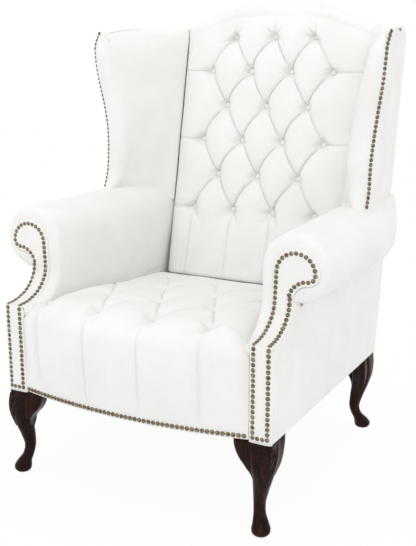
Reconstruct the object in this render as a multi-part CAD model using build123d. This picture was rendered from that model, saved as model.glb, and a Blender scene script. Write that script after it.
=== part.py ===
"""Chesterfield wing chair with a deep-buttoned back and seat, scroll arms and cabriole legs.

Millimetres. The floor is z = 0, the chair faces -Y, and x = 0 is its plane of symmetry.
The origin is on the floor, under the middle of the chair's width and depth.
"""
import os
from math import ceil, cos, floor, pi, radians, sin, sqrt, tan

from build123d import *

# Driving dimensions, in millimetres

# Base and legs
leg_height = 200.0  # floor to the underside of the seat rails
leg_block = 50.0  # square top of a leg
rear_leg_setback = 29.0  # middle of a rear leg ahead of the outside back's foot
knee_block_reach = 37.0  # ear beside a leg's top, along the rail
knee_block_drop = 48.0
knee_block_thickness = 28.0
knee_block_edge = 5.0  # height of the ear's outer end
side_ear_share = 0.7  # length of the ears along the side rails, against the others

# Outer casing
body_half_width = 331.0  # outer face of the arm panels
arm_front_y = -379.0  # leather face of the arm posts
rear_foot_y = 274.0  # outside back at the height of the rails
rear_rake_deg = 9.65  # lean of the outside back
panel_thickness = 4.0  # board and leather of an outside panel
gap = 0.3  # clearance of soft pieces and fitted panels
frame_inset = 28.0  # from the leather to the wooden frame behind stuffing
rail_height = 80.0
rail_thickness = 26.0
rear_frame_depth = 25.0
rear_post_width = 37.0
front_bow = 34.0  # how far the front rail stands out at the middle
overrun = 20.0  # how far a cutting shape runs past what it cuts

# Scroll arms
arm_rise = 409.0  # from the legs to the top of an arm
roll_radius = 72.0
arm_front_width = 72.0  # inside of the arm to the outer face, at the front
arm_rear_width = 91.0
arm_round = 70.0  # round from the inside of the arm to its top
arm_taper_run = 124.0  # this far ahead of the outside back the roll starts to die into the wing
roll_rear_reach = 18.0  # outward reach of the roll where it meets the outside back
roll_rear_run = 71.0
arm_pad_rise = 100.0  # lower edge of the inside arm over the legs
roll_nose = 16.0  # rounding of the leather round the front of the arm
sweep_run = 99.0  # depth of the concave sweep from post to scroll
sweep_rise = 72.0
shoulder_drop = 205.0  # square shoulder on top of the post's front, below the arm's top

# Arm facing, the nailed strip and scroll on the front of an arm
facing_thickness = 4.0
facing_width = 51.0
scroll_radius = 51.0
scroll_outset = 2.0  # middle of the scroll outside the middle of the roll
scroll_drop = 7.0  # middle of the scroll below the middle of the roll
scroll_lobe_radius = 24.0
scroll_neck_radius = 32.0
nail_margin = 9.5  # edge of a facing or panel to the middle of its nails

# Arm frame
post_depth = 49.0
post_lean_drop = 54.0  # where a post starts to lean back, below its shoulder
scroll_block_thickness = 26.0
arm_rail_width = 66.0
arm_rail_height = 48.0
under_rail_height = 52.0
under_rail_thickness = 23.7
under_rail_drop = 25.0  # lower edge of the rail under the roll, below the roll
post_shoulder_run = 147.0
tack_rail_height = 34.0
tack_rail_thickness = 20.0

# Seat
seat_rise = 208.0  # from the legs to the front buttons
seat_slope_deg = 3.4
seat_spacing_share = 0.5667  # between buttons in a row, of half the room between the arms
seat_pitch_share = 0.2067  # between rows, of the chair's depth
seat_first_row_run = 34.0
seat_shift = -24.0  # middle of the buttoning to one side of the middle of the seat
seat_rows = 4
seat_rear_run = 104.0  # seat's rear edge ahead of the foot of the outside back
seat_puff = 22.0  # height of a tuft over its buttons
seat_crease = 5.0
seat_pad_thickness = 58.0
seat_edge_drop = 13.0
border_drop = 32.0  # fullest line of the front border below the front buttons
border_full = 12.0  # how much fuller it is than at its nails
border_thickness = 13.0
border_play = 0.4  # between the border and an arm facing
border_puff = 8.0  # depth of the pleats at the fullest part of the border
border_step = 40.0  # height of the border's cells
border_foot_rise = 18.0  # below it the border lies flat under its nails
leather_low_rise = 4.0  # lower edge of the front border
seat_edge_share = 0.86  # outside this share of the width the seat slopes to its seams
crown_steps = 4  # cells over a rolled edge, per quarter turn
tongue_drop = 5.0  # underside of the arm's leather over the end of the border
tongue_run = 49.0

# Back
back_first_row_rise = 141.0  # over the front buttons of the seat
back_first_row_setback = 45.0
back_top_setback = 39.35  # plane of the buttons ahead of the outside back, at the crest
back_spacing_share = 0.50885  # between buttons in a row, of the half width at the seat
back_pitch_share = 0.1676  # between rows, of the height from the first row to the crest
back_rows = 6
back_puff = 27.0
back_crease = 6.0
back_foot_drop = 40.0  # foot of the back below the front buttons of the seat
back_pad_least = 12.0  # stuffing behind the buttons
back_inset = 14.0  # side of the back inside the arm, at the seat
back_flare_deg = 2.9  # lean of the pad's sides
crest_rise = 880.0  # from the legs to the top of the camel crest
crest_bow_drop = 54.8  # fall of the middle bow, reckoned out to the arm panels
crest_shoulder_rise = 36.0  # where the lines of the two shoulders would meet, over the crest
crest_shoulder_drop = 113.3  # fall of a shoulder from there, out to the arm panels
crest_roll = 31.0  # height of the rolled top edge over its middle
crest_lift = 12.0  # fullness in front of the crest
back_foot_height = 60.0  # height over which the back swells from its foot
crest_tail = 26.0  # leather turned down behind the crest
crest_wrap = 6.0
crest_stuffing = 28.0  # over the crest rail
crest_rail_height = 59.0  # its ends, between the rear posts
crest_rail_play = 2.0  # crest rail's shoulder outside the back's half width
panel_rise = 14.0  # outside back above the base of the wing's cap
lower_back_rail_rise = 32.0  # above the foot of the back
lower_back_rail_height = 50.0

# Wings
wing_tip_drop = 64.0  # top of a wing below the crest
wing_cap_height = 26.0  # closed stuffing over the wing's frame
wing_base_drop = 9.0  # start of a wing's lines below the arm's top
wing_foot_drop = 47.0  # its lower edge, hidden in the arm
wing_depth = 300.0
wing_nose_run = 210.0  # foremost point of a wing ahead of the outside back's foot
wing_flare = 55.0  # how far a wing stands out over the arm panel
wing_rear_outset = 2.0
wing_thickness = 62.0
wing_pad = 20.0
wing_tuck = 6.0  # how far the wing's leather laps in front of the back's side seam
wing_frame_inset = 5.0  # from the outer face to the wing's frame
wing_frame_thickness = 20.0
wing_frame_play = 5.0  # between the frame's top and the closed stuffing
wing_upright_depth = 42.0
wing_upright_setback = 4.0
wing_rail_drop = 55.0
wing_rail_height = 36.0
wing_rail_play = 2.0
wing_frame_gap = 1.0  # between the crest rail and the closed stuffing above it
wing_nail_setback = 17.0  # middle of the nails behind the wing's nose
wing_nail_rise = 12.0  # first nail over the start of the wing's lines
wing_nail_drop = 16.0  # last nail below the top

# Buttons and nails
button_radius = 9.0
button_height = 4.5
button_crown_share = 0.6
button_sides = 8
button_play = 0.7  # clearance of a button's rim over its dimple
nail_radius = 5.0
nail_height = 3.2
nail_pitch = 10.9
nail_lift = 0.05
nail_sides = 6
nail_samples = 24  # places under half a nail where its seat is looked for
rail_nail_inset = 9.0  # last nail of the rail's row inside the facing
rail_nail_rise = 11.0

# Webbing, cloth and fixings
webbing_width = 50.0
webbing_thickness = 2.0
webbing_turn = 10.0  # a strip's end behind the front rail's face
cloth_thickness = 1.5
foam_gap = 0.6
seat_foam_rise = 6.0  # over the top of the seat rails
seat_strip_pitch = 92.0
seat_strips = 5
cross_strip_pitch_share = 0.1608  # of the chair's depth
cross_strips = 5
cross_strip_run = 149.0
cloth_inset = 46.0
cloth_front_run = 34.0
cloth_rear_run = 18.0
dust_cloth_inset = 18.0
dust_cloth_run = 27.0
dust_cloth_rear_play = 5.0
back_strip_rise = 37.0
back_strip_pitch = 88.0
back_strips = 5
corner_block_leg = 80.0
corner_block_height = 40.0
bolt_radius = 4.0
bolt_length = 86.0
bolt_in_leg = 40.0
bolt_clearance = 0.3
bolt_sides = 12
rear_bolt_run = 17.0

# Shares: how a wing's front edge runs. Height on the wing, set-back of the nose, place of the
# outer face towards wing_outer_x, and thickness.
wing_edge_shares = [
    (0.000, -0.055, 0.50, 0.85),
    (0.096, 0.000, 0.50, 0.88),
    (0.240, 0.025, 0.51, 1.00),
    (0.385, 0.041, 0.57, 1.00),
    (0.529, 0.035, 0.71, 1.00),
    (0.673, 0.014, 0.88, 0.95),
    (0.817, 0.000, 0.98, 0.85),
    (0.899, 0.012, 1.00, 0.80),
    (0.947, 0.062, 1.00, 0.78),
    (0.978, 0.130, 0.99, 0.78),
]
wing_cap_shares = [
    (0.978, 0.130, 0.99, 0.78),
    (0.990, 0.260, 0.94, 0.74),
    (1.000, 0.560, 0.80, 0.66),
]

# Shares: how a leg runs from its top to the floor. Height, side of its rounded square against
# the block, corner radius against that side; then outward set against the block, sideways and
# ahead for a front leg, sideways and back for a rear leg.
leg_shares = [
    (1.000, 1.00, 0.12, 0.00, 0.00, 0.00, 0.00),
    (0.860, 1.04, 0.22, 0.05, 0.14, 0.04, 0.02),
    (0.725, 0.98, 0.34, 0.06, 0.22, 0.06, -0.02),
    (0.590, 0.82, 0.42, 0.00, 0.18, 0.00, -0.12),
    (0.430, 0.64, 0.46, -0.12, 0.08, -0.12, -0.26),
    (0.285, 0.51, 0.48, -0.18, 0.06, -0.18, -0.32),
    (0.190, 0.53, 0.48, -0.12, 0.16, -0.08, -0.22),
    (0.110, 0.69, 0.48, 0.00, 0.32, 0.10, -0.06),
    (0.050, 0.80, 0.49, 0.04, 0.38, 0.16, 0.04),
    (0.015, 0.73, 0.49, 0.04, 0.38, 0.16, 0.04),
    (0.000, 0.62, 0.49, 0.04, 0.38, 0.16, 0.04),
]
tuft_steps = 3  # cells along half a diamond
tuft_round_share = 0.55  # how quickly a tuft rises from its creases
quarter_steps = 5  # facets round a quarter turn
facing_foot_share = 0.3
nose_steps = 3
sweep_steps = 16

# Derived values: across
panel_inner_x = body_half_width - panel_thickness
frame_outer_x = panel_inner_x - gap
leg_centre_x = body_half_width - leg_block / 2
roll_centre_x = body_half_width
arm_inside_front = body_half_width - arm_front_width  # half the room between the arms
arm_inside_rear = body_half_width - arm_rear_width
facing_inner_x = body_half_width - facing_width
scroll_centre_x = roll_centre_x + scroll_outset
lobe_x = scroll_centre_x + scroll_radius - scroll_lobe_radius
post_inner_x = arm_inside_front + frame_inset + gap
rear_post_inner_x = frame_outer_x - rear_post_width
side_rail_inner_x = frame_outer_x - rail_thickness
border_half_width = facing_inner_x - border_play
back_half_low = arm_inside_rear - back_inset  # half width of the back at the seat
seat_spacing = arm_inside_rear * seat_spacing_share
back_spacing = back_half_low * back_spacing_share
wing_outer_x = body_half_width + wing_flare
wing_rear_x = body_half_width + wing_rear_outset
rail_nail_half = facing_inner_x - rail_nail_inset  # half the row along the front rail
cloth_half_width = body_half_width - cloth_inset
dust_cloth_half = body_half_width - dust_cloth_inset

# Derived values: front to back
chair_depth = rear_foot_y - arm_front_y
front_leg_y = arm_front_y + leg_block / 2
rear_leg_y = rear_foot_y - rear_leg_setback
rear_bolt_y = rear_foot_y - rear_bolt_run
arm_taper_y = rear_foot_y - arm_taper_run
roll_rear_y = rear_foot_y + roll_rear_run
scroll_y = arm_front_y + sweep_run
facing_back = facing_thickness + gap
block_rear_y = scroll_y + facing_back + scroll_block_thickness
post_rear_y = arm_front_y + post_depth
post_shoulder_y = arm_front_y + post_shoulder_run
tongue_y = arm_front_y + tongue_run
seat_first_row_y = arm_front_y + seat_first_row_run
seat_rear_y = rear_foot_y - seat_rear_run
seat_pitch = chair_depth * seat_pitch_share
back_first_row_y = rear_foot_y - back_first_row_setback
wing_nose_y = rear_foot_y - wing_nose_run
rear_near = panel_thickness + gap
rear_far = rear_near + rear_frame_depth
cross_strip_first_y = arm_front_y + cross_strip_run
cross_strip_pitch = chair_depth * cross_strip_pitch_share
cloth_front_y = arm_front_y + cloth_front_run
cloth_rear_y = rear_foot_y - cloth_rear_run
dust_cloth_front_y = arm_front_y + dust_cloth_run

# Derived values: heights
rail_top_z = leg_height + rail_height
rail_nail_z = leg_height + rail_nail_rise
seat_foam_low_z = rail_top_z + seat_foam_rise
seat_level_z = leg_height + seat_rise  # height of the front buttons
seat_base_z = seat_level_z - seat_pad_thickness
border_top_z = seat_level_z - border_drop
border_foot_z = leg_height + border_foot_rise
leather_low_z = leg_height + leather_low_rise
tongue_z = seat_level_z - tongue_drop
arm_top_z = leg_height + arm_rise
arm_pad_low_z = leg_height + arm_pad_rise
shoulder_z = arm_top_z - shoulder_drop
sweep_top_z = shoulder_z + sweep_rise
post_lean_z = shoulder_z - post_lean_drop
roll_centre_z = arm_top_z - roll_radius
scroll_centre_z = roll_centre_z - scroll_drop
neck_z = scroll_centre_z - scroll_lobe_radius - scroll_neck_radius
under_rail_low_z = roll_centre_z - roll_radius - under_rail_drop
crest_z = leg_height + crest_rise
crest_shoulder_z = crest_z + crest_shoulder_rise
back_low_z = seat_level_z - back_foot_drop
back_first_row_z = seat_level_z + back_first_row_rise
back_pitch = (crest_z - back_first_row_z) * back_pitch_share
lower_back_rail_z = back_low_z + lower_back_rail_rise
back_strip_low_z = back_low_z + back_strip_rise
wing_low_z = arm_top_z - wing_foot_drop
wing_base_z = arm_top_z - wing_base_drop
wing_top_z = crest_z - wing_tip_drop
wing_height = wing_top_z - wing_base_z
wing_cap_z = wing_top_z - wing_cap_height  # above it the stuffing closes over the frame
wing_frame_top_z = wing_cap_z - wing_frame_play
wing_rail_low_z = wing_frame_top_z - wing_rail_drop
crest_rail_low_z = wing_cap_z - wing_frame_gap - crest_rail_height
back_foam_top_z = wing_cap_z
wing_nail_low_z = wing_base_z + wing_nail_rise
wing_nail_high_z = wing_top_z - wing_nail_drop

# Derived values: slopes
seat_slope = tan(radians(seat_slope_deg))
rear_lean = tan(radians(rear_rake_deg))
back_top_y = rear_foot_y + rear_lean * crest_rise - back_top_setback
back_lean = (back_top_y - back_first_row_y) / (crest_z - back_first_row_z)
back_flare = tan(radians(back_flare_deg))
far = 2 * leg_height + chair_depth  # how far a cutting shape reaches


# Lines of the chair

def rear_y(z, ahead=0.0):
    """Plane of the outside back at a height, or a plane ahead of it."""
    return rear_foot_y + rear_lean * (z - leg_height) - ahead


def button_y(z):
    """Plane that the back's buttons lie on."""
    return back_first_row_y + back_lean * (z - back_first_row_z)


def back_half(z):
    """Half width of the buttoned back at a height."""
    return back_half_low + back_flare * (z - back_low_z)


def crest_height(x):
    """Camel crest: a shallow bow in the middle, running into two straight shoulders."""
    share = abs(x) / body_half_width
    middle = crest_z - crest_bow_drop * share * share
    shoulder = crest_shoulder_z - crest_shoulder_drop * share
    return min(middle, shoulder)


def arm_inside(y):
    """Half the room between the arms at a depth."""
    share = min((y - arm_front_y) / (arm_taper_y - arm_front_y), 1)
    return arm_inside_front + (arm_inside_rear - arm_inside_front) * share


def bow(x):
    """How far the bowed front stands out at x."""
    return front_bow * (1 - (x / border_half_width) ** 2)


def rail_line_y(x):
    """Front of the bowed front rail."""
    return arm_front_y + border_thickness - bow(x)


def arm_front(z):
    """Leather face of an arm at a height: post, concave sweep, then the scroll."""
    rise = min(max((z - shoulder_z) / sweep_rise, 0), 1)
    return arm_front_y + sweep_run * sqrt(1 - (1 - rise) ** 2)


def hump(t):
    """Nought at both ends of a cell and one in its middle."""
    t = min(max(t, 0), 1)
    return 4 * t * (1 - t)


def cell(value):
    """Place inside a repeating cell, from 0 to 1."""
    return value - floor(value)


def blend(a, b, share):
    return a + (b - a) * share


def steps_between(start, end, step):
    """Places from start to end in equal steps no longer than the one given."""
    count = max(1, ceil(abs(end - start) / step - gap / step))
    return [blend(start, end, i / count) for i in range(count + 1)]


# Ways of making solids

def solid_box(low, high):
    """Box between two corners."""
    size = [b - a for a, b in zip(low, high)]
    middle = [(a + b) / 2 for a, b in zip(low, high)]
    return Pos(*middle) * Box(*size)


def yz_prism(points, x0, x1):
    """Outline in depth and height, run across from x0 to x1."""
    face = Face(Wire.make_polygon([(x0, y, z) for y, z in points]))
    return Solid.extrude(face, Vector(x1 - x0, 0, 0))


def xz_prism(points, y0, y1):
    """Outline in width and height, run back from y0 to y1."""
    face = Face(Wire.make_polygon([(x, y0, z) for x, z in points]))
    return Solid.extrude(face, Vector(0, y1 - y0, 0))


def xy_prism(points, z0, z1):
    """Plan outline, run up from z0 to z1."""
    face = Face(Wire.make_polygon([(x, y, z0) for x, y in points]))
    return Solid.extrude(face, Vector(0, 0, z1 - z0))


def rear_slab(near, far_side, z0, z1, x0, x1):
    """Slab that leans with the outside back, between two distances ahead of it."""
    points = [(rear_y(z0, near), z0), (rear_y(z1, near), z1)]
    points += [(rear_y(z1, far_side), z1), (rear_y(z0, far_side), z0)]
    return yz_prism(points, x0, x1)


def rear_board(outline, near, far_side):
    """Board in the leaning back frame, with its outline given in width and height."""
    low = min(z for x, z in outline) - overrun
    high = max(z for x, z in outline) + overrun
    half = max(abs(x) for x, z in outline) + overrun
    prism = xz_prism(outline, rear_y(low, far_side) - overrun, rear_y(high, near) + overrun)
    return (prism & rear_slab(near, far_side, low, high, -half, half)).solid()


def behind(near, x0, x1):
    """Everything behind a plane that lies ahead of the outside back."""
    return rear_slab(near, -far, 0, crest_z + overrun, x0, x1)


def closed_skin(quads, polygons):
    """Solid from four-cornered cells, each split along its given diagonal, and flat polygons."""
    faces = []
    for a, b, c, d, flip in quads:
        halves = ((a, b, d), (b, c, d)) if flip else ((a, b, c), (a, c, d))
        for corners in halves:
            if len(set(corners)) == 3:
                faces.append(Face(Wire.make_polygon(corners)))
    for corners in polygons:
        faces.append(Face(Wire.make_polygon(corners)))
    solid = Solid(Shell(faces))
    return solid if solid.volume > 0 else Solid(solid.wrapped.Reversed())


def cells_of(rows, rises=None):
    """Four-cornered cells of a grid. rises tells which way the crease runs through a cell."""
    quads = []
    for i in range(len(rows) - 1):
        for j in range(len(rows[i]) - 1):
            flip = rises(i, j) if rises else False
            quads.append((rows[i][j], rows[i][j + 1], rows[i + 1][j + 1], rows[i + 1][j], flip))
    return quads


def lofted(rings):
    """Solid through rings of places, with its sides split into triangles."""
    rings = [[tuple(place) for place in ring] for ring in rings]
    return closed_skin(cells_of([ring + ring[:1] for ring in rings]), [rings[0], rings[-1]])


def mirrored(shape):
    """Mirror image of a piece, or of a group of pieces, on the other side."""
    if shape.children:
        return Compound(children=[piece.mirror(Plane.YZ) for piece in shape.children])
    return shape.mirror(Plane.YZ)


def both_sides(shape):
    """The right-hand piece and its mirror image, by side."""
    return {"right": shape, "left": mirrored(shape)}


# Deep buttoning: diamonds between staggered rows of buttons

class Tufting:
    """A buttoned surface. Its first row has four buttons, the next three, and so on."""

    def __init__(self, spacing, pitch, rows, puff, crease):
        self.spacing = spacing
        self.pitch = pitch
        self.rows = rows
        self.puff = puff
        self.crease_share = crease / puff
        self.last = (rows - 1) * pitch
        self.last_even = (rows - 2) * pitch
        self.column_step = spacing / (2 * tuft_steps)
        self.row_step = pitch / tuft_steps

    def buttons(self):
        """Places of the buttons across (x) and up (w) the surface."""
        places = []
        for row in range(self.rows):
            count = 3 if row % 2 else 4
            for i in range(count):
                places.append(((i - (count - 1) / 2) * self.spacing, row * self.pitch))
        return places

    def rises(self, x, w):
        """Whether the crease in this half diamond climbs towards larger x."""
        return (floor(w / self.pitch) + floor(2 * x / self.spacing)) % 2 == 1

    def reach(self, w):
        """Half width of the diamonds: a zigzag between the outermost buttons."""
        if w <= 0:
            return self.spacing * 1.5
        if w >= self.last:
            return self.spacing
        return self.spacing * (1 + abs(1 - (w / self.pitch) % 2) / 2)

    def height(self, x, w, half, high):
        """Fullness over the buttons, from 0 at a button to puff on top of a tuft.

        Between the rows the creases are the sides of diamonds. Before the first row and after
        the last they are straight pleats, and a pleat runs out sideways from each even row.
        """
        share = self.crease_share
        reach = min(self.reach(w), half)
        if abs(x) <= reach + gap:
            if w < 0 or w > self.last:
                across = hump(cell(x / self.spacing + (0.5 if w < 0 else 0)))
                return self.puff * across ** tuft_round_share
            along = w / (2 * self.pitch)
            p = hump(cell(x / self.spacing + 0.5 + along))
            q = hump(cell(x / self.spacing + 0.5 - along))
            valley = share * (p + q - p * q)
            return self.puff * (valley + (1 - share) * (p * q) ** tuft_round_share)
        out = (abs(x) - reach) / max(half - reach, gap)
        turn = (w / self.pitch) % 2
        if w < 0:
            run, start = 0.5, 0
        elif w >= self.last_even:
            run = (w - self.last_even) / (high - self.last_even) / 2
            start = share * hump((w - self.last_even) / self.pitch) if w < self.last else 0
        else:
            run, start = turn / 2, share * hump(cell(turn))
        rise = share + (1 - share) * hump(run) ** tuft_round_share
        return self.puff * (blend(start, 0, out) + rise * hump(out) ** tuft_round_share)

    def columns(self, half_least, shift=0):
        """Columns inside the edges: even steps, so that creases run from corner to corner."""
        below = floor((half_least + shift) / self.column_step - 0.5)
        above = floor((half_least - shift) / self.column_step - 0.5)
        return [shift + i * self.column_step for i in range(-below, above + 1)]

    def button_lift(self, x, w, half):
        """Height at which a button's rim meets the leather that rises beside it."""
        near = (x - self.column_step, x + self.column_step)
        rise = max(self.height(side, w, half, self.last + self.pitch) for side in near)
        return rise * button_radius / self.column_step + button_play


seat_tufts = Tufting(seat_spacing, seat_pitch, seat_rows, seat_puff, seat_crease)
back_tufts = Tufting(back_spacing, back_pitch, back_rows, back_puff, back_crease)


def button(frame):
    """Leather-covered button: a low dome whose rim sits in its dimple."""
    rings = []
    for radius, height in ((button_radius, 0), (button_radius * button_crown_share, button_height)):
        turns = [2 * pi * i / button_sides for i in range(button_sides)]
        rings.append([frame.from_local_coords((radius * cos(t), radius * sin(t), height)) for t in turns])
    return lofted(rings)


# Seat cover: buttoned top, rolled front edge and pleated, bowed border

def seat_level(y):
    """Height of the seat's buttons at a depth."""
    return seat_level_z - seat_slope * (y - seat_first_row_y)


def seat_columns(half):
    """Places across a row of the seat's skin, out to its edges."""
    inner = seat_tufts.columns(arm_inside_rear - gap, seat_shift)
    return [-half, (inner[0] - half) / 2] + inner + [(inner[-1] + half) / 2, half]


def seat_tuft(x, w, half, high):
    """Fullness of the seat at x, whose buttoning lies a little to one side."""
    across = x - seat_shift
    reach = half - seat_shift if across > 0 else half + seat_shift
    return seat_tufts.height(across, w, reach, high)


def seat_edge(x, half):
    """How far towards a side seam, from 0 on the flat of the seat to 1 at the seam."""
    share = min(abs(x) / half, 1)
    return max(0, share - seat_edge_share) / (1 - seat_edge_share)


def seat_top_point(x, y):
    half = arm_inside(y) - gap
    w = y - seat_first_row_y
    rear = max(0, w - seat_tufts.last) / (seat_rear_y - seat_first_row_y - seat_tufts.last)
    edge = max(seat_edge(x, half), rear) ** 2
    fullness = seat_tuft(x, w, half, seat_rear_y - seat_first_row_y)
    return (x, y, seat_level(y) + fullness * (1 - edge) - seat_edge_drop * edge)


def border_full_at(x, z):
    """How far the border stands out over its nailed edge, pleats included."""
    fall = min((border_top_z - z) / (border_top_z - border_foot_z), 1)
    pleats = seat_tuft(x, -seat_pitch, border_half_width, seat_pitch) / seat_puff
    edge = seat_edge(x, arm_inside_front - gap) ** 2
    return (border_full - border_puff * (1 - pleats)) * (1 - fall * fall) * (1 - edge)


def border_point(x, z):
    return (x, arm_front_y - bow(x) - border_full_at(x, z), z)


def crown_point(x, angle):
    """Point on the rolled front edge, from the border's fullest line to the first buttons."""
    pleats = seat_tuft(x, -seat_pitch, border_half_width, seat_pitch)
    edge = seat_edge(x, arm_inside_front - gap) ** 2
    height = seat_level_z - border_top_z + pleats * (1 - edge) - seat_edge_drop * edge
    depth = seat_first_row_y - border_point(x, border_top_z)[1]
    y = seat_first_row_y - depth * cos(angle)
    return (x, y, border_top_z + height * sin(angle))


def make_seat_cover():
    last_row = seat_first_row_y + seat_tufts.last
    depths = steps_between(seat_rear_y, last_row, seat_tufts.row_step)
    depths += steps_between(last_row, seat_first_row_y, seat_tufts.row_step)[1:]
    depths = sorted(set(depths + [arm_taper_y]), reverse=True)
    rows = []
    for y in depths:
        rows.append([seat_top_point(x, y) for x in seat_columns(arm_inside(y) - gap)])
    top_count = len(rows)
    places = seat_columns(border_half_width)
    for i in range(1, crown_steps + 1):
        angle = pi / 2 * (1 - i / crown_steps)
        rows.append([crown_point(x, angle) for x in places])
    for z in steps_between(border_top_z, border_foot_z, border_step)[1:] + [leather_low_z]:
        rows.append([border_point(x, z) for x in places])

    def rises(i, j):
        a, c = rows[i][j], rows[i + 1][j + 1]
        middle = (a[0] + c[0]) / 2 - seat_shift
        return seat_tufts.rises(middle, (a[1] + c[1]) / 2 - seat_first_row_y)

    low_wall = [(x, rail_line_y(x) - gap, leather_low_z) for x in places]
    high_wall = [(x, y, seat_base_z) for x, y, z in low_wall]
    quads = cells_of(rows, rises) + cells_of([rows[-1], low_wall, high_wall])
    polygons = []
    feet = []
    for end in (0, -1):
        foot = [(row[end][0], row[end][1], seat_base_z) for row in rows[:top_count + 1]]
        for i in range(top_count):
            quads.append((rows[i][end], rows[i + 1][end], foot[i + 1], foot[i], False))
        front = [row[end] for row in rows[top_count:]]
        polygons.append(front + [low_wall[end], high_wall[end], foot[-1]])
        feet.append(foot)
    polygons.append(rows[0] + [feet[1][0], feet[0][0]])
    polygons.append(feet[0] + high_wall + feet[1][::-1])
    return closed_skin(quads, polygons)


def seat_button(x, w):
    y = seat_first_row_y + w
    lift = seat_tufts.button_lift(x, w, arm_inside(y) - gap - abs(seat_shift))
    place = (x + seat_shift, y, seat_level(y) + lift)
    return button(Plane(place, x_dir=(1, 0, 0), z_dir=(0, seat_slope, 1)))


# Back cover: buttoned face, rolled camel crest and the leather turned down behind it

def crest_middle_z(x):
    """Height of the middle of the rolled edge."""
    return crest_height(x) - crest_roll


def back_row(make_point):
    """A row of points across the back, whose two ends lie on its leaning sides."""
    points = [make_point(x) for x in back_tufts.columns(back_half_low)]
    sides_of_row = []
    for sign in (-1, 1):
        near = make_point(sign * back_half(make_point(sign * back_half_low)[2]))
        end = (sign * back_half(near[2]), near[1], near[2])
        inner = points[0] if sign < 0 else points[-1]
        sides_of_row.append((end, make_point((inner[0] + end[0]) / 2)))
    (left, left_between), (right, right_between) = sides_of_row
    return [left, left_between] + points + [right_between, right]


def make_back_cover():
    rows_low = (back_rows - 2) * tuft_steps
    rows_last = (back_rows - 1) * tuft_steps
    rows_all = rows_last + tuft_steps
    high = back_tufts.last + back_pitch
    foot_w = back_low_z - back_first_row_z
    places = steps_between(foot_w, 0, 2 * back_tufts.row_step)[:-1]
    places += [back_tufts.row_step * i for i in range(rows_all + 1)]

    def height_of(x, w):
        """Above the last even row the outer columns share out the crest's height."""
        step = w / back_tufts.row_step
        start, first, last = back_first_row_z, rows_low, rows_last
        if step <= rows_low or (abs(x) <= back_spacing + gap and step <= rows_last):
            return start + w
        if abs(x) <= back_spacing + gap:
            first = last
        floor_z = start + first * back_tufts.row_step
        return blend(floor_z, crest_middle_z(x), (step - first) / (rows_all - first))

    def face_point(x, w):
        z = height_of(x, w)
        first = rows_last if abs(x) <= back_spacing + gap else rows_low
        top = max(0, (w / back_tufts.row_step - first) / (rows_all - first))
        foot = min(1, (z - back_low_z) / back_foot_height)
        fullness = back_tufts.height(x, w, back_half(z), high) * foot
        return (x, button_y(z) - blend(fullness, crest_lift, top * top), z)

    def crest_point(x, angle):
        middle = crest_middle_z(x)
        front = button_y(middle) - crest_lift
        rear = rear_y(middle) + crest_wrap
        y = (front + rear) / 2 - (rear - front) / 2 * cos(angle)
        return (x, y, middle + crest_roll * sin(angle))

    rows = [back_row(lambda x: face_point(x, w)) for w in places]
    face_count = len(rows)
    for i in range(1, 2 * crown_steps + 1):
        angle = pi / 2 * i / crown_steps
        rows.append(back_row(lambda x: crest_point(x, angle)))

    def rear_point(x, drop, out):
        z = crest_height(x) - drop
        return (x, rear_y(z) + out, z)

    def over_rail(x):
        z = crest_height(x) - crest_stuffing + gap
        return (x, button_y(z) + back_pad_least, z)

    drop = crest_roll + crest_tail
    rows.append(back_row(lambda x: rear_point(x, drop, crest_wrap)))
    inside = back_row(lambda x: rear_point(x, drop, gap))
    behind_rail = back_row(lambda x: rear_point(x, crest_stuffing - gap, gap))
    over = back_row(over_rail)

    def rises(i, j):
        if i >= face_count - 1:
            return False
        middle = (places[i] + places[i + 1]) / 2
        return not back_tufts.rises((rows[i][j][0] + rows[i][j + 1][0]) / 2, middle)

    foot_y = button_y(back_low_z) + back_pad_least
    foot = [(rows[0][end][0], foot_y, back_low_z) for end in (0, -1)]
    quads = cells_of(rows, rises) + cells_of([rows[-1], inside]) + cells_of([behind_rail, over])
    polygons = [inside + behind_rail[::-1], over + foot[::-1], rows[0] + foot[::-1]]
    for end, corner in ((0, foot[0]), (-1, foot[1])):
        edge = [row[end] for row in rows]
        polygons.append(edge + [inside[end], behind_rail[end], over[end], corner])
    return closed_skin(quads, polygons)


def back_button(x, w):
    z = back_first_row_z + w
    origin = (x, button_y(z) - back_tufts.button_lift(x, w, back_half(z)), z)
    return button(Plane(origin, x_dir=(1, 0, 0), z_dir=(0, -1, back_lean)))


# Scroll arms, right-hand one

def arm_profile(inset):
    """Prism of an arm's side: square shoulder, concave sweep and upright scroll front."""
    front = arm_front_y + inset
    points = [(front, -overrun), (far, -overrun), (far, crest_z), (front, crest_z)]
    whole = yz_prism(points, 0, far)
    centre = Plane((0, arm_front_y, sweep_top_z), x_dir=(0, 1, 0), z_dir=(1, 0, 0))
    hollow = extrude(centre * Ellipse(sweep_run + inset, sweep_rise + inset), far)
    clear = solid_box((0, arm_front_y - far, sweep_top_z), (far, scroll_y + inset, crest_z + overrun))
    return whole - hollow - clear


def quarter(centre, start, end):
    """Places on a quarter of an ellipse about centre, from centre + start to centre + end."""
    turns = [pi / 2 * i / quarter_steps for i in range(quarter_steps + 1)]
    return [centre + start * cos(turn) + end * sin(turn) for turn in turns]


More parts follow.
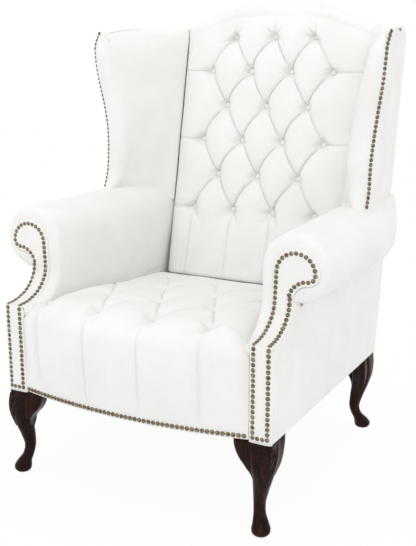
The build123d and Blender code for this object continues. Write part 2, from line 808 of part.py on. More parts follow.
def arm_section(y, inside, reach, grow, low, under_x):
    """Section across an arm: inner face, rounded top, roll, and the cut under the roll."""
    left = inside - grow
    top = arm_top_z + grow
    corner = arm_round + grow
    tall = roll_radius + grow
    wide = max(reach + grow, gap)
    under = roll_centre_z - tall
    across, up = Vector(1, 0, 0), Vector(0, 0, 1)
    outer = Vector(roll_centre_x, y, roll_centre_z)
    points = quarter(Vector(left + corner, y, top - corner), across * -corner, up * corner)
    points += quarter(outer, up * tall, across * wide)
    points += quarter(outer, across * wide, up * -tall)[1:]
    points += [Vector(under_x, y, under), Vector(under_x, y, low), Vector(left, y, low)]
    return points


def arm_block(grow, low, under_x, front):
    """Body of an arm between its sections, narrowing towards the back and into the wing."""
    places = [
        (front, arm_inside(front), roll_radius),
        (arm_taper_y, arm_inside_rear, roll_radius),
        (roll_rear_y, arm_inside_rear, roll_rear_reach),
    ]
    return lofted([arm_section(y, inside, reach, grow, low, under_x) for y, inside, reach in places])


def arm_nose(grow, low, under_x):
    """Front of the roll, with its leather drawn round the edge."""
    rings = []
    for i in range(nose_steps + 1):
        angle = pi / 2 * i / nose_steps
        y = scroll_y + roll_nose * (1 - cos(angle))
        shrink = roll_nose * (1 - sin(angle))
        rings.append(arm_section(y, arm_inside(y), roll_radius, grow - shrink, low, under_x))
    return lofted(rings)


def facing_wire(grow):
    """Outline of an arm facing: strip, neck, small lobe and round head, in width and height."""
    head, lobe, neck = scroll_radius + grow, scroll_lobe_radius + grow, scroll_neck_radius - grow
    lean = sqrt(0.5)

    def at(x, z):
        return Vector(x, 0, z)

    strip = [
        at(lobe_x - neck, neck_z),
        at(body_half_width + grow, shoulder_z),
        at(body_half_width + grow, leg_height - grow),
        at(facing_inner_x - grow, leg_height - grow),
        at(facing_inner_x - grow, shoulder_z),
        at(scroll_centre_x - head, scroll_centre_z),
    ]
    edges = [
        Edge.make_three_point_arc(
            at(scroll_centre_x - head, scroll_centre_z),
            at(scroll_centre_x, scroll_centre_z + head),
            at(scroll_centre_x + head, scroll_centre_z),
        ),
        Edge.make_three_point_arc(
            at(lobe_x + lobe, scroll_centre_z),
            at(lobe_x + lobe * lean, scroll_centre_z - lobe * lean),
            at(lobe_x, scroll_centre_z - lobe),
        ),
        Edge.make_three_point_arc(
            at(lobe_x, neck_z + neck),
            at(lobe_x - neck * lean, neck_z + neck * lean),
            at(lobe_x - neck, neck_z),
        ),
    ]
    edges += [Edge.make_line(a, b) for a, b in zip(strip, strip[1:])]
    return Wire(edges)


def facing_prism(grow, y0, y1):
    face = Face(facing_wire(grow)).moved(Location((0, y0, 0)))
    return Solid.extrude(face, Vector(0, y1 - y0, 0))


def make_arm_pieces():
    """Facing, outside panel and inside leather of the right arm."""
    front = arm_front_y - overrun
    facing = facing_prism(0, front, block_rear_y) & (arm_profile(0) - arm_profile(facing_thickness))
    outer_low, outer_high = leg_height, roll_centre_z - roll_radius - gap
    panel = solid_box((panel_inner_x, front, outer_low), (body_half_width, far, outer_high))
    panel = (panel & arm_profile(facing_back)) - behind(rear_near, 0, far)
    tongue = arm_block(0, arm_pad_low_z, facing_inner_x + frame_inset, front)
    low_part = solid_box((0, front, 0), (far, far, sweep_top_z))
    tongue = tongue & low_part & arm_profile(0)
    roll = arm_nose(0, arm_pad_low_z, facing_inner_x + frame_inset)
    rear_roll = arm_block(0, arm_pad_low_z, facing_inner_x + frame_inset, scroll_y + roll_nose)
    outer = roll + rear_roll + tongue
    cavity = arm_block(-frame_inset, leg_height, panel_inner_x, block_rear_y - gap)
    low_cavity = arm_block(-frame_inset, leg_height, panel_inner_x, front) & low_part
    low_cavity = low_cavity & arm_profile(frame_inset)
    leather = outer - cavity - low_cavity
    leather = leather - facing_prism(gap, front, block_rear_y + gap)
    notch = solid_box((0, front, 0), (facing_inner_x + gap, tongue_y, tongue_z))
    leather = leather - notch - behind(rear_near, frame_outer_x, far)
    leather = leather - behind(rear_far + gap, 0, panel_inner_x)
    leather = leather - wing_upright(gap, wing_low_z)
    return facing.solid(), panel.solid(), leather


# Wings, right-hand one

def wing_shares(z):
    """Set-back, outer place and thickness of a wing at a height, between the listed ones."""
    share = (z - wing_base_z) / wing_height
    rows = wing_edge_shares + wing_cap_shares[1:]
    for low, high in zip(rows, rows[1:]):
        if share <= high[0]:
            part = (share - low[0]) / (high[0] - low[0])
            return [blend(a, b, part) for a, b in zip(low[1:], high[1:])]
    return rows[-1][1:]


def wing_lines(z):
    """Nose, outer x and nose radius of a wing at a height."""
    setback, outward, thick = wing_shares(z)
    nose = wing_nose_y + wing_depth * setback
    outer = blend(wing_rear_x, wing_outer_x, outward)
    return nose, outer, wing_thickness * thick / 2


def wing_outer_at(y, z):
    """Outer face of a wing: straight in plan from the nose's side to the rear corner."""
    nose, outer, radius = wing_lines(z)
    share = (y - nose - radius) / (rear_y(z) - nose - radius)
    return blend(outer, wing_rear_x, share)


def wing_band(z):
    """Plan section of the stuffed leather: round the nose, then along the inner face."""
    nose, outer, radius = wing_lines(z)
    centre = Vector(outer - radius, nose + radius, z)
    side = back_half(z) + gap
    lap_y = button_y(z) - wing_tuck
    end_y = rear_y(z, rear_far + foam_gap + webbing_thickness)
    inner = radius - wing_pad
    ahead = Vector(0, -1, 0)
    across = Vector(1, 0, 0)
    points = quarter(centre, across * radius, ahead * radius)
    points += quarter(centre, ahead * radius, across * -radius)[1:]
    points += [
        Vector(side, lap_y, z),
        Vector(side, end_y, z),
        Vector(side + wing_pad, end_y, z),
        Vector(side + wing_pad, lap_y, z),
    ]
    points += quarter(centre, across * -inner, ahead * inner)
    points += quarter(centre, ahead * inner, across * inner)[1:]
    return points


def wing_cap_section(z):
    """Plan section of the closed stuffing on top of a wing."""
    nose, outer, radius = wing_lines(z)
    centre = Vector(outer - radius, nose + radius, z)
    side = back_half(z) + gap
    across = Vector(1, 0, 0)
    ahead = Vector(0, -1, 0)
    end_y = rear_y(z, rear_near)
    points = quarter(centre, across * radius, ahead * radius)
    points += quarter(centre, ahead * radius, across * -radius)[1:]
    points += [
        Vector(side, button_y(z) - wing_tuck, z),
        Vector(side, end_y, z),
        Vector(wing_outer_at(end_y, z), end_y, z),
    ]
    return points


def wing_strip(z, front, rear, inset, thick):
    """Plan section of a board that follows the outer face between two depths."""
    start, end = wing_outer_at(front, z) - inset, wing_outer_at(rear, z) - inset
    return [
        Vector(start, front, z),
        Vector(end, rear, z),
        Vector(end - thick, rear, z),
        Vector(start - thick, front, z),
    ]


def wing_heights(low, high):
    """The two ends and the listed heights between them."""
    heights = [wing_base_z + wing_height * row[0] for row in wing_edge_shares]
    return [low] + [z for z in heights if low < z < high] + [high]


def wing_upright(grow, low):
    """Post behind a wing's nose, standing on the arm rail."""
    rings = []
    for z in wing_heights(low, wing_frame_top_z):
        level = max(z, wing_base_z)
        nose, outer, radius = wing_lines(level)
        start = nose + radius + wing_upright_setback
        ring = wing_strip(level, start - grow, start + wing_upright_depth + grow,
                          wing_frame_inset - grow, wing_frame_thickness + 2 * grow)
        rings.append([place + Vector(0, 0, z - level) for place in ring])
    return lofted(rings)


def make_wing_pieces():
    """Stuffed leather, outside panel, upright and top rail of the right wing."""
    band = lofted([wing_band(z) for z in wing_heights(wing_low_z, wing_cap_z)])
    cap_heights = [wing_base_z + wing_height * row[0] for row in wing_cap_shares]
    cap_heights = [wing_cap_z] + [z for z in cap_heights if z > wing_cap_z]
    cap = lofted([wing_cap_section(z) for z in cap_heights])
    strips = []
    for z in wing_heights(wing_low_z, wing_cap_z - gap):
        nose, outer, radius = wing_lines(z)
        strips.append(wing_strip(z, nose + radius + gap, rear_y(z, rear_near), 0, panel_thickness))
    panel = lofted(strips)
    arm = arm_block(gap, leg_height, facing_inner_x + frame_inset, scroll_y)
    rail_rings = []
    for z in (wing_rail_low_z, wing_rail_low_z + wing_rail_height):
        nose, outer, radius = wing_lines(z)
        start = nose + radius + wing_upright_setback + wing_upright_depth + wing_rail_play
        rail_rings.append(wing_strip(z, start, rear_y(z, rear_far), wing_frame_inset,
                                     wing_frame_thickness))
    upright = wing_upright(0, roll_centre_z + arm_rail_height / 2)
    rail = lofted(rail_rings)
    return (band + cap) - arm, panel - arm, upright, rail


# Wooden frame

def post_back(z):
    """Rear face of an arm post at a height: upright, then leaning back at half a right angle."""
    return min(post_rear_y + max(z - post_lean_z, 0), post_shoulder_y)


def arm_post():
    """Front post of an arm: shaped to the sweep in front, widening upwards to carry the scroll."""
    outline = [
        (arm_front_y, leg_height),
        (post_rear_y, leg_height),
        (post_rear_y, post_lean_z),
        (post_shoulder_y, post_lean_z - post_rear_y + post_shoulder_y),
        (post_shoulder_y, sweep_top_z),
        (arm_front_y, sweep_top_z),
    ]
    post = yz_prism(outline, post_inner_x, frame_outer_x) & arm_profile(facing_back)
    return (post - bolt(leg_centre_x, front_leg_y, bolt_clearance)).solid()


def scroll_block():
    """Board behind the scroll of a facing, with the facing's own outline."""
    front = scroll_y + facing_back
    board = facing_prism(0, front, block_rear_y)
    low_part = solid_box((0, front - overrun, 0), (far, block_rear_y + overrun, sweep_top_z))
    return (board - low_part).solid()


def arm_rail():
    """Rail along the middle of the roll, from the scroll block to the rear post."""
    half = arm_rail_width / 2
    outline = [
        (roll_centre_x - half, block_rear_y),
        (roll_centre_x + half, block_rear_y),
        (roll_centre_x + half, arm_taper_y),
        (frame_outer_x, roll_rear_y - frame_inset),
        (frame_outer_x, roll_rear_y),
        (roll_centre_x - half, roll_rear_y),
    ]
    half = arm_rail_height / 2
    rail = xy_prism(outline, roll_centre_z - half, roll_centre_z + half)
    return (rail - behind(rear_far, 0, far)).solid()


def side_bar(x0, x1, front, low, high):
    """Straight bar along a side, from front to the rear post."""
    bar = solid_box((x0, front, low), (x1, far, high))
    return (bar - behind(rear_far, 0, far)).solid()


def back_post():
    """Rear post, leaning with the outside back from the seat rail to the wing's top."""
    outline = [
        (rear_post_inner_x, leg_height),
        (frame_outer_x, leg_height),
        (frame_outer_x, wing_frame_top_z),
        (rear_post_inner_x, wing_frame_top_z),
    ]
    post = rear_board(outline, rear_near, rear_far)
    return (post - bolt(leg_centre_x, rear_bolt_y, bolt_clearance)).solid()


def front_seat_rail():
    places = [-post_inner_x] + seat_columns(border_half_width) + [post_inner_x]
    outline = [(x, min(rail_line_y(x), arm_front_y + border_thickness)) for x in places]
    outline += [(x, y + rail_thickness) for x, y in outline[::-1]]
    return xy_prism(outline, leg_height, rail_top_z)


def cross_board(low, high):
    """Board between the rear posts."""
    half = rear_post_inner_x
    return rear_board([(-half, low), (half, low), (half, high), (-half, high)], rear_near, rear_far)


def crest_rail():
    """Top rail, cut to the crest under its stuffing and stepped down between the wings."""
    half = rear_post_inner_x
    narrow = back_half(crest_rail_low_z) + crest_rail_play
    step_z = wing_cap_z - wing_frame_gap
    outline = [(-half, crest_rail_low_z), (half, crest_rail_low_z), (half, step_z)]
    places = [narrow] + back_tufts.columns(back_half_low)[::-1] + [-narrow]
    outline += [(narrow, step_z)]
    outline += [(x, crest_height(x) - crest_stuffing) for x in places]
    outline += [(-narrow, step_z), (-half, step_z)]
    return rear_board(outline, rear_near, rear_far)


def make_outside_back():
    """Plain leather panel behind the frame, following the crest and the wings."""
    narrow = back_half(crest_z)
    panel_top = wing_cap_z + panel_rise
    outline = [(-body_half_width, leg_height), (body_half_width, leg_height)]
    outline += [(body_half_width, wing_base_z), (wing_rear_x, panel_top)]
    places = [narrow] + back_tufts.columns(back_half_low)[::-1] + [-narrow]
    outline += [(x, crest_height(x) - crest_stuffing) for x in places]
    outline += [(-wing_rear_x, panel_top), (-body_half_width, wing_base_z)]
    return rear_board(outline, 0, panel_thickness)


def corner_block(sign, front):
    """Three-cornered block glued into a corner of the seat frame, under the webbing."""
    x = sign * side_rail_inner_x
    y = post_rear_y if front else rear_y(leg_height, rear_far)
    along = corner_block_leg if front else -corner_block_leg
    outline = [(x, y), (x - sign * corner_block_leg, y), (x, y + along)]
    return xy_prism(outline, leg_height, leg_height + corner_block_height)


# Legs

def leg(front):
    """Right-hand cabriole leg, lofted through rounded squares from its block to the pad foot."""
    y = front_leg_y if front else rear_leg_y
    toward = -1 if front else 1
    rings = []
    for height, width, corner, front_side, ahead, rear_side, back in leg_shares:
        side, out = (front_side, ahead) if front else (rear_side, back)
        across, deep = leg_block * side, toward * leg_block * out
        centre = Vector(leg_centre_x + across, y + deep, leg_height * height)
        radius = leg_block * width * corner
        half = leg_block * width / 2 - radius
        points = []
        for turn in range(4):
            start = Vector(1, 0, 0).rotate(Axis.Z, 90 * turn)
            end = Vector(0, 1, 0).rotate(Axis.Z, 90 * turn)
            points += quarter(centre + (start + end) * half, start * radius, end * radius)
        rings.append(points)
    bolt_y = front_leg_y if front else rear_bolt_y
    return (lofted(rings) - bolt(leg_centre_x, bolt_y, bolt_clearance)).solid()


def bolt(x, y, grow):
    """Hanger bolt between a leg and the post above it."""
    low = leg_height - bolt_in_leg - grow
    end = Pos(x, y, low) * RegularPolygon(bolt_radius + grow, bolt_sides)
    return extrude(end, bolt_length + 2 * grow).solid()


def knee_block(front, along_side):
    """Ear that carries a leg's curve on under a rail."""
    y = front_leg_y if front else rear_leg_y
    half = leg_block / 2
    reach = knee_block_reach * (side_ear_share if along_side else 1)
    low = leg_height - knee_block_drop
    edge = leg_height - knee_block_edge
    hollow = quarter(Vector(reach, 0, low), Vector(-reach, 0, 0), Vector(0, 0, edge - low))
    corners = [(reach, leg_height), (-half, leg_height), (-half, low)]
    outline = [(point.X, point.Z) for point in hollow] + corners
    ear = xz_prism(outline, 0, knee_block_thickness)
    if along_side:
        turn = 90 if front else -90
        x = leg_centre_x + half - (0 if front else knee_block_thickness)
        ear = Pos(x, y + (half if front else -half), 0) * Rot(0, 0, turn) * ear
    else:
        ear = Pos(leg_centre_x - half, y - half if front else y + half, 0) * Rot(0, 0, 180) * ear
        if front:
            ear = Pos(0, knee_block_thickness, 0) * ear
    return (ear - leg(front)).solids().sort_by(SortBy.VOLUME)[-1]


# Nails

def dome(place, normal, ahead):
    """Low faceted nail head on a surface."""
    across = normal.cross(ahead).normalized()
    up = across.cross(normal).normalized()
    base = place + normal.normalized() * nail_lift
    ring = []
    for i in range(nail_sides):
        angle = 2 * pi * i / nail_sides
        spoke = across * cos(angle) + up * sin(angle)
        ring.append(tuple(base + spoke * nail_radius))
    tip = tuple(base + normal.normalized() * nail_height)
    quads = []
    for a, b in zip(ring, ring[1:] + ring[:1]):
        quads.append((a, b, tip, tip, False))
    return closed_skin(quads, [ring])


def nails_along(path):
    """Nail heads at even distances along a path of places and surface normals."""
    lengths = [0]
    for (a, n), (b, m) in zip(path, path[1:]):
        lengths.append(lengths[-1] + (b - a).length)
    count = round(lengths[-1] / nail_pitch)

    def at(distance):
        i = 0
        while i < len(path) - 2 and lengths[i + 1] < distance:
            i += 1
        part = (distance - lengths[i]) / (lengths[i + 1] - lengths[i])
        (a, n), (b, m) = path[i], path[i + 1]
        return a + (b - a) * part, (n + (m - n) * part).normalized()

    closed = (path[0][0] - path[-1][0]).length < nail_pitch
    heads = []
    for k in range(count if closed else count + 1):
        distance = lengths[-1] * k / count
        place, normal = at(distance)
        rise = 0
        for step in range(-nail_samples, nail_samples + 1):
            near = min(max(distance + step * nail_radius / nail_samples, 0), lengths[-1])
            rise = max(rise, (at(near)[0] - place).dot(normal))
        ahead = at(min(distance + nail_radius, lengths[-1]))[0] - at(max(distance - nail_radius, 0))[0]
        heads.append(dome(place + normal * rise, normal, ahead))
    return Compound(children=heads)


def facing_nail_path():
    """Round the edge of the right arm's facing, over its square shoulder and its sweep."""
    margin = nail_margin
    front = Vector(0, -1, 0)
    low = leg_height + margin + nail_radius * facing_foot_share
    inner_x, outer_x = facing_inner_x + margin, body_half_width - margin

    def sweep():
        points = [(arm_front_y, low, front), (arm_front_y, shoulder_z - nail_radius, front)]
        points.append((arm_front_y, shoulder_z, Vector(0, -1, 1).normalized()))
        for i in range(1, sweep_steps + 1):
            angle = pi / 2 * i / sweep_steps
            y = arm_front_y + sweep_run * sin(angle)
            z = sweep_top_z - sweep_rise * cos(angle)
            normal = Vector(0, -sin(angle) / sweep_run, cos(angle) / sweep_rise).normalized()
            points.append((y, z, normal))
        return points

    path = [(Vector(inner_x, y, z), n) for y, z, n in sweep()]
    for i in range(sweep_steps + 1):
        angle = pi * (1 - i / sweep_steps)
        radius = scroll_radius - margin
        x, z = scroll_centre_x + radius * cos(angle), scroll_centre_z + radius * sin(angle)
        path.append((Vector(x, scroll_y, z), front))
    for i in range(1, sweep_steps + 1):
        angle = -pi / 2 * i / sweep_steps
        radius = scroll_lobe_radius - margin
        x, z = lobe_x + radius * cos(angle), scroll_centre_z + radius * sin(angle)
        path.append((Vector(x, scroll_y, z), front))
    for i in range(1, sweep_steps):
        angle = pi / 2 * (1 + i / sweep_steps)
        radius = scroll_neck_radius + margin
        x, z = lobe_x + radius * cos(angle), neck_z + radius * sin(angle)
        path.append((Vector(x, scroll_y, max(z, sweep_top_z)), front))
    path += [(Vector(outer_x, y, z), n) for y, z, n in sweep()[::-1]]
    path.append((Vector(inner_x, arm_front_y, low), front))
    return path


def wing_nail_path():
    """Up the outer side of the right wing's rounded nose."""
    places = []
    tangents = []
    for z in steps_between(wing_nail_low_z, wing_nail_high_z, nail_radius / 2):
        nose, outer, radius = wing_lines(z)
        sine = (radius - wing_nail_setback) / radius
        cosine = sqrt(1 - sine * sine)
        places.append(Vector(outer - radius + radius * cosine, nose + radius - radius * sine, z))
        tangents.append(Vector(sine, cosine, 0))
    path = []
    for i, place in enumerate(places):
        along = places[min(i + 1, len(places) - 1)] - places[max(i - 1, 0)]
        path.append((place, tangents[i].cross(along).normalized()))
    return path


def rail_nail_path():
    """Along the foot of the front border, from one facing to the other."""
    path = []
    for x in steps_between(-rail_nail_half, rail_nail_half, nail_pitch):
        slope = 2 * front_bow * x / border_half_width ** 2
        place = Vector(x, arm_front_y - bow(x), rail_nail_z)
        path.append((place, Vector(slope, -1, 0).normalized()))
    return path


# Webbing, cloth and stuffing

def make_seat_webbing():
    half = webbing_width / 2
    layers = []
    rear = rear_y(rail_top_z, rear_near + gap)
    low = rail_top_z + webbing_thickness
    for i in range(seat_strips):
        x = (i - (seat_strips - 1) / 2) * seat_strip_pitch
        front = rail_line_y(abs(x) + half) + webbing_turn
        layers.append(solid_box((x - half, front, rail_top_z), (x + half, rear, low)))
    for i in range(cross_strips):
        y = cross_strip_first_y + i * cross_strip_pitch
        high = low + webbing_thickness
        layers.append(solid_box((-dust_cloth_half, y - half, low), (dust_cloth_half, y + half, high)))
    return Compound(children=layers)


def make_back_webbing():
    half = webbing_width / 2
    strips = []
    for i in range(back_strips):
        x = (i - (back_strips - 1) / 2) * back_strip_pitch
        outline = [(x - half, back_strip_low_z), (x + half, back_strip_low_z)]
        outline += [(x + half, wing_frame_top_z), (x - half, wing_frame_top_z)]
        strips.append(rear_board(outline, rear_far, rear_far + webbing_thickness))
    return Compound(children=strips)


def make_seat_foam():
    edge = foam_gap
    places = steps_between(-arm_inside_front + edge, arm_inside_front - edge, seat_tufts.column_step)
    front = [(x, rail_line_y(x) + edge) for x in places]
    rear = rear_y(seat_foam_low_z, rear_far + webbing_thickness)
    narrow = arm_inside_rear - edge
    outline = front + [(narrow, arm_taper_y), (narrow, rear), (-narrow, rear), (-narrow, arm_taper_y)]
    return xy_prism(outline, seat_foam_low_z, seat_base_z - gap)


def make_back_foam():
    """Wedge of stuffing between the upright frame and the raked pad."""
    inset = rear_far + webbing_thickness + gap
    low, high = back_low_z, back_foam_top_z
    points = [(button_y(low) + back_pad_least + gap, low), (rear_y(low, inset), low)]
    points += [(rear_y(high, inset), high), (button_y(high) + back_pad_least + gap, high)]
    half = back_half_low - foam_gap
    return yz_prism(points, -half, half)


def make_dust_cover():
    rear = rear_y(leg_height, rear_near) - dust_cloth_rear_play
    sheet = solid_box((-dust_cloth_half, dust_cloth_front_y, leg_height - cloth_thickness),
                      (dust_cloth_half, rear, leg_height))
    reach = leg_block / 2 + knee_block_reach + gap
    for side in (-1, 1):
        for y in (front_leg_y, rear_leg_y):
            middle = Pos(side * leg_centre_x, y, leg_height)
            sheet = sheet - middle * Box(2 * reach, 2 * reach, 2 * leg_block)
    return sheet.solid()


def build():
    """Every piece of the chair by node name."""
    cloth_low = rail_top_z + 2 * webbing_thickness
    cloth_high = cloth_low + cloth_thickness
    nodes = {
        "front_seat_rail": front_seat_rail(),
        "rear_seat_rail": cross_board(leg_height, rail_top_z),
        "lower_back_rail": cross_board(lower_back_rail_z, lower_back_rail_z + lower_back_rail_height),
        "crest_rail": crest_rail(),
        "outside_back": make_outside_back(),
        "seat_cover": make_seat_cover(),
        "back_cover": make_back_cover(),
        "seat_foam": make_seat_foam(),
        "back_foam": make_back_foam(),
        "seat_webbing": make_seat_webbing(),
        "back_webbing": make_back_webbing(),
        "seat_hessian": solid_box(
            (-cloth_half_width, cloth_front_y, cloth_low), (cloth_half_width, cloth_rear_y, cloth_high)),
        "dust_cover": make_dust_cover(),
        "seat_buttons": Compound(children=[seat_button(x, w) for x, w in seat_tufts.buttons()]),
        "back_buttons": Compound(children=[back_button(x, w) for x, w in back_tufts.buttons()]),
        "rail_nails": nails_along(rail_nail_path()),
    }
    facing, outside_arm, inside_arm = make_arm_pieces()
    inside_wing, outside_wing, upright, wing_rail = make_wing_pieces()
    under_x = frame_outer_x - under_rail_thickness
    under_high = under_rail_low_z + under_rail_height
    tack_high = arm_pad_low_z + tack_rail_height
    tack_x = post_inner_x + gap
    pieces = {
        "arm_facing": facing,
        "outside_arm": outside_arm,
        "inside_arm": inside_arm,
        "inside_wing": inside_wing,
        "outside_wing": outside_wing,
        "wing_upright": upright,
        "wing_top_rail": wing_rail,
        "arm_post": arm_post(),
        "scroll_block": scroll_block(),
        "arm_rail": arm_rail(),
        "under_arm_rail": side_bar(
            under_x, frame_outer_x, post_shoulder_y, under_rail_low_z, under_high),
        "tack_rail": side_bar(
            tack_x, tack_x + tack_rail_thickness, post_back(tack_high), arm_pad_low_z, tack_high),
        "seat_side_rail": side_bar(
            side_rail_inner_x, frame_outer_x, post_rear_y, leg_height, rail_top_z),
        "back_post": back_post(),
        "front_leg": leg(True),
        "rear_leg": leg(False),
        "facing_nails": nails_along(facing_nail_path()),
        "wing_nails": nails_along(wing_nail_path()),
    }
    for name, shape in pieces.items():
        for side, placed in both_sides(shape).items():
            nodes[side + "_" + name] = placed
    corners = [corner_block(sign, front) for sign in (-1, 1) for front in (True, False)]
    nodes["corner_blocks"] = Compound(children=corners)
    bolts = [bolt(leg_centre_x, y, 0) for y in (front_leg_y, rear_bolt_y)]
    nodes["leg_bolts"] = Compound(children=bolts + [piece.mirror(Plane.YZ) for piece in bolts])
    ears = [knee_block(front, along) for front in (True, False) for along in (True, False)]
    nodes["knee_blocks"] = Compound(children=ears + [piece.mirror(Plane.YZ) for piece in ears])
    return nodes


os.makedirs("parts", exist_ok=True)
for name, shape in build().items():
    export_step(shape, "parts/" + name + ".step")
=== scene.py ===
"""Chesterfield wing chair in white leather: its looks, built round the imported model.

Metres. The floor is z = 0, the chair faces -Y, and x = 0 is its middle. Every piece is a surface
worked out as arrays: rows and columns of places, then the cells between them.
"""

import bpy
import numpy as np
from mathutils import Matrix, Vector


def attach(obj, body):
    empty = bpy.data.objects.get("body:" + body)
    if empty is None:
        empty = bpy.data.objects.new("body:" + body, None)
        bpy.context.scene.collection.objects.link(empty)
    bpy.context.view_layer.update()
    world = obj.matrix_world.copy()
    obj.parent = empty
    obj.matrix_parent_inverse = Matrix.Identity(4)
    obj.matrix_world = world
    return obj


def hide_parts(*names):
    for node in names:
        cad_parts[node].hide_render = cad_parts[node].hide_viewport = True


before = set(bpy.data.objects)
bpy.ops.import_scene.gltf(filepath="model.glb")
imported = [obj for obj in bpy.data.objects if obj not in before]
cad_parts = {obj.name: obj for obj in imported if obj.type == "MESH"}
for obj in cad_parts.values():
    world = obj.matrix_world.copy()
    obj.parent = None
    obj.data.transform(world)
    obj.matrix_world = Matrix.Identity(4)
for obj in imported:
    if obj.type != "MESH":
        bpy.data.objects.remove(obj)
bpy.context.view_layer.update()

# Sizes that the model shares with the source, in metres, some of them rounded
leg_height = 0.200
leg_block = 0.050
leg_centre_x = 0.306
front_leg_y = -0.354
rear_leg_y = 0.245
body_half_width = 0.331
arm_front_y = -0.379
rear_foot_y = 0.274
rear_lean = np.tan(np.radians(9.65))
arm_top_z = 0.609
arm_round = 0.070
arm_inside_front = 0.259
arm_inside_rear = 0.240
arm_taper_y = 0.150
roll_radius = 0.072
roll_centre_x = 0.331
roll_centre_z = 0.537
roll_rear_reach = 0.018
roll_rear_y = 0.345
roll_nose = 0.016
shoulder_z = 0.404
sweep_run = 0.099
sweep_rise = 0.072
sweep_top_z = 0.476
scroll_y = arm_front_y + sweep_run
facing_inner_x = 0.280
facing_thickness = 0.004
scroll_x = 0.333
scroll_z = 0.530
scroll_radius = 0.051
lobe_x = 0.360
lobe_radius = 0.024
neck_radius = 0.032
neck_z = 0.474
nail_margin = 0.0095
seat_level_z = 0.408
seat_slope = np.tan(np.radians(3.4))
seat_first_row_y = -0.345
seat_spacing = 0.136
seat_pitch = 0.135
seat_rows = 4
seat_shift = -0.024
seat_rear_y = 0.170
seat_base_z = 0.350
border_half_width = 0.2796
border_top_z = 0.376
border_foot_z = 0.218
leather_low_z = 0.204
front_bow = 0.034
back_first_row_y = 0.229
back_first_row_z = 0.549
back_lean = 0.29241
back_spacing = 0.115
back_pitch = 0.089
back_rows = 6
back_low_z = 0.368
back_half_low = 0.226
back_flare = np.tan(np.radians(2.9))
back_pad_least = 0.012
crest_z = 1.080
crest_bow_drop = 0.0548
crest_shoulder_z = 1.116
crest_shoulder_drop = 0.1133
crest_roll = 0.031
crest_lift = 0.012
crest_tail = 0.026
crest_wrap = 0.006
crest_stuffing = 0.028
wing_low_z = 0.562
wing_base_z = 0.600
wing_height = 0.416
wing_depth = 0.300
wing_nose_y = 0.064
wing_outer_x = 0.386
wing_rear_x = 0.333
wing_thickness = 0.062
nail_pitch = 0.0109
nail_radius = 0.0050
rail_nail_half = 0.271
rail_nail_z = 0.211
gap = 0.0003

# Sizes of its own, which the source has otherwise or not at all. The buttons in the photo sit deep
# in the leather, so less of them is seen.
button_radius = 0.0076
button_height = 0.0040
nail_height = 0.0034
under_roll_z = 0.4695
pleat_width = 0.0026
pleat_flap = 0.009
pleat_ridge = 0.0009
panel_rear_margin = 0.0045
arm_panel_margin = 0.0043
wing_body_top = 0.996
wing_crown = 0.0200
wing_crown_inset = 0.012
seat_crown_reach = 0.034
seat_flat_share = 0.78
seat_rim_share = 0.22
scroll_side_x = 0.282
scroll_side_run = 0.126
wing_nail_set_back = 0.017
wing_panel_set_back = 0.0135

# Shares along a wing's front edge, and along a leg, as in the source
wing_shares = np.array([
    (0.000, -0.055, 0.50, 0.85), (0.096, 0.000, 0.50, 0.88), (0.240, 0.025, 0.51, 1.00),
    (0.385, 0.041, 0.57, 1.00), (0.529, 0.035, 0.71, 1.00), (0.673, 0.014, 0.88, 0.95),
    (0.817, 0.000, 0.98, 0.85), (0.899, 0.012, 1.00, 0.80), (0.947, 0.062, 1.00, 0.78),
    (0.978, 0.130, 0.99, 0.78), (0.990, 0.260, 0.94, 0.74), (1.000, 0.560, 0.80, 0.66),
])
nose_shares = np.array([
    (0.00, 0.62), (0.07, 0.88), (0.18, 0.99), (0.42, 0.99), (0.63, 0.96), (0.80, 0.88), (0.90, 0.70),
    (0.95, 0.46), (0.976, 0.32), (1.00, 0.26),
])
leg_shares = np.array([
    (0.000, 0.62, 0.49, 0.04, 0.38, 0.16, 0.04), (0.015, 0.73, 0.49, 0.04, 0.38, 0.16, 0.04),
    (0.050, 0.80, 0.49, 0.04, 0.38, 0.16, 0.04), (0.110, 0.69, 0.48, 0.00, 0.32, 0.10, -0.06),
    (0.190, 0.53, 0.48, -0.12, 0.16, -0.08, -0.22), (0.285, 0.51, 0.48, -0.18, 0.06, -0.18, -0.32),
    (0.430, 0.64, 0.46, -0.12, 0.08, -0.12, -0.26), (0.590, 0.82, 0.42, 0.00, 0.18, 0.00, -0.12),
    (0.725, 0.98, 0.34, 0.06, 0.22, 0.06, -0.02), (0.860, 1.04, 0.22, 0.05, 0.14, 0.04, 0.02),
    (1.000, 1.00, 0.12, 0.00, 0.00, 0.00, 0.00),
])


# Curves and small helpers

def hump(t):
    """Nought at both ends of each unit cell and one in its middle: 4 t (1 - t)."""
    t = t - np.floor(t)
    return 4 * t * (1 - t)


def smooth(t):
    """Smooth step from 0 to 1: 3 t^2 - 2 t^3 of t held between 0 and 1."""
    t = np.clip(t, 0, 1)
    return t * t * (3 - 2 * t)


def blend(a, b, share):
    """From a at share 0 to b at share 1."""
    return a + (b - a) * share


def along_table(table, at):
    """Smooth values between the rows of a table: cubic Hermite pieces with central slopes."""
    places, values = table[:, 0], table[:, 1:]
    slopes = np.gradient(values, places, axis=0)
    at = np.clip(at, places[0], places[-1])
    i = np.clip(np.searchsorted(places, at, side="right") - 1, 0, len(places) - 2)
    step = (places[i + 1] - places[i])[..., None]
    u = ((at - places[i]) / step[..., 0])[..., None]
    start = (1 + 2 * u) * (1 - u) ** 2 * values[i] + u * (1 - u) ** 2 * step * slopes[i]
    end = u * u * (3 - 2 * u) * values[i + 1] + u * u * (u - 1) * step * slopes[i + 1]
    return np.moveaxis(start + end, -1, 0)


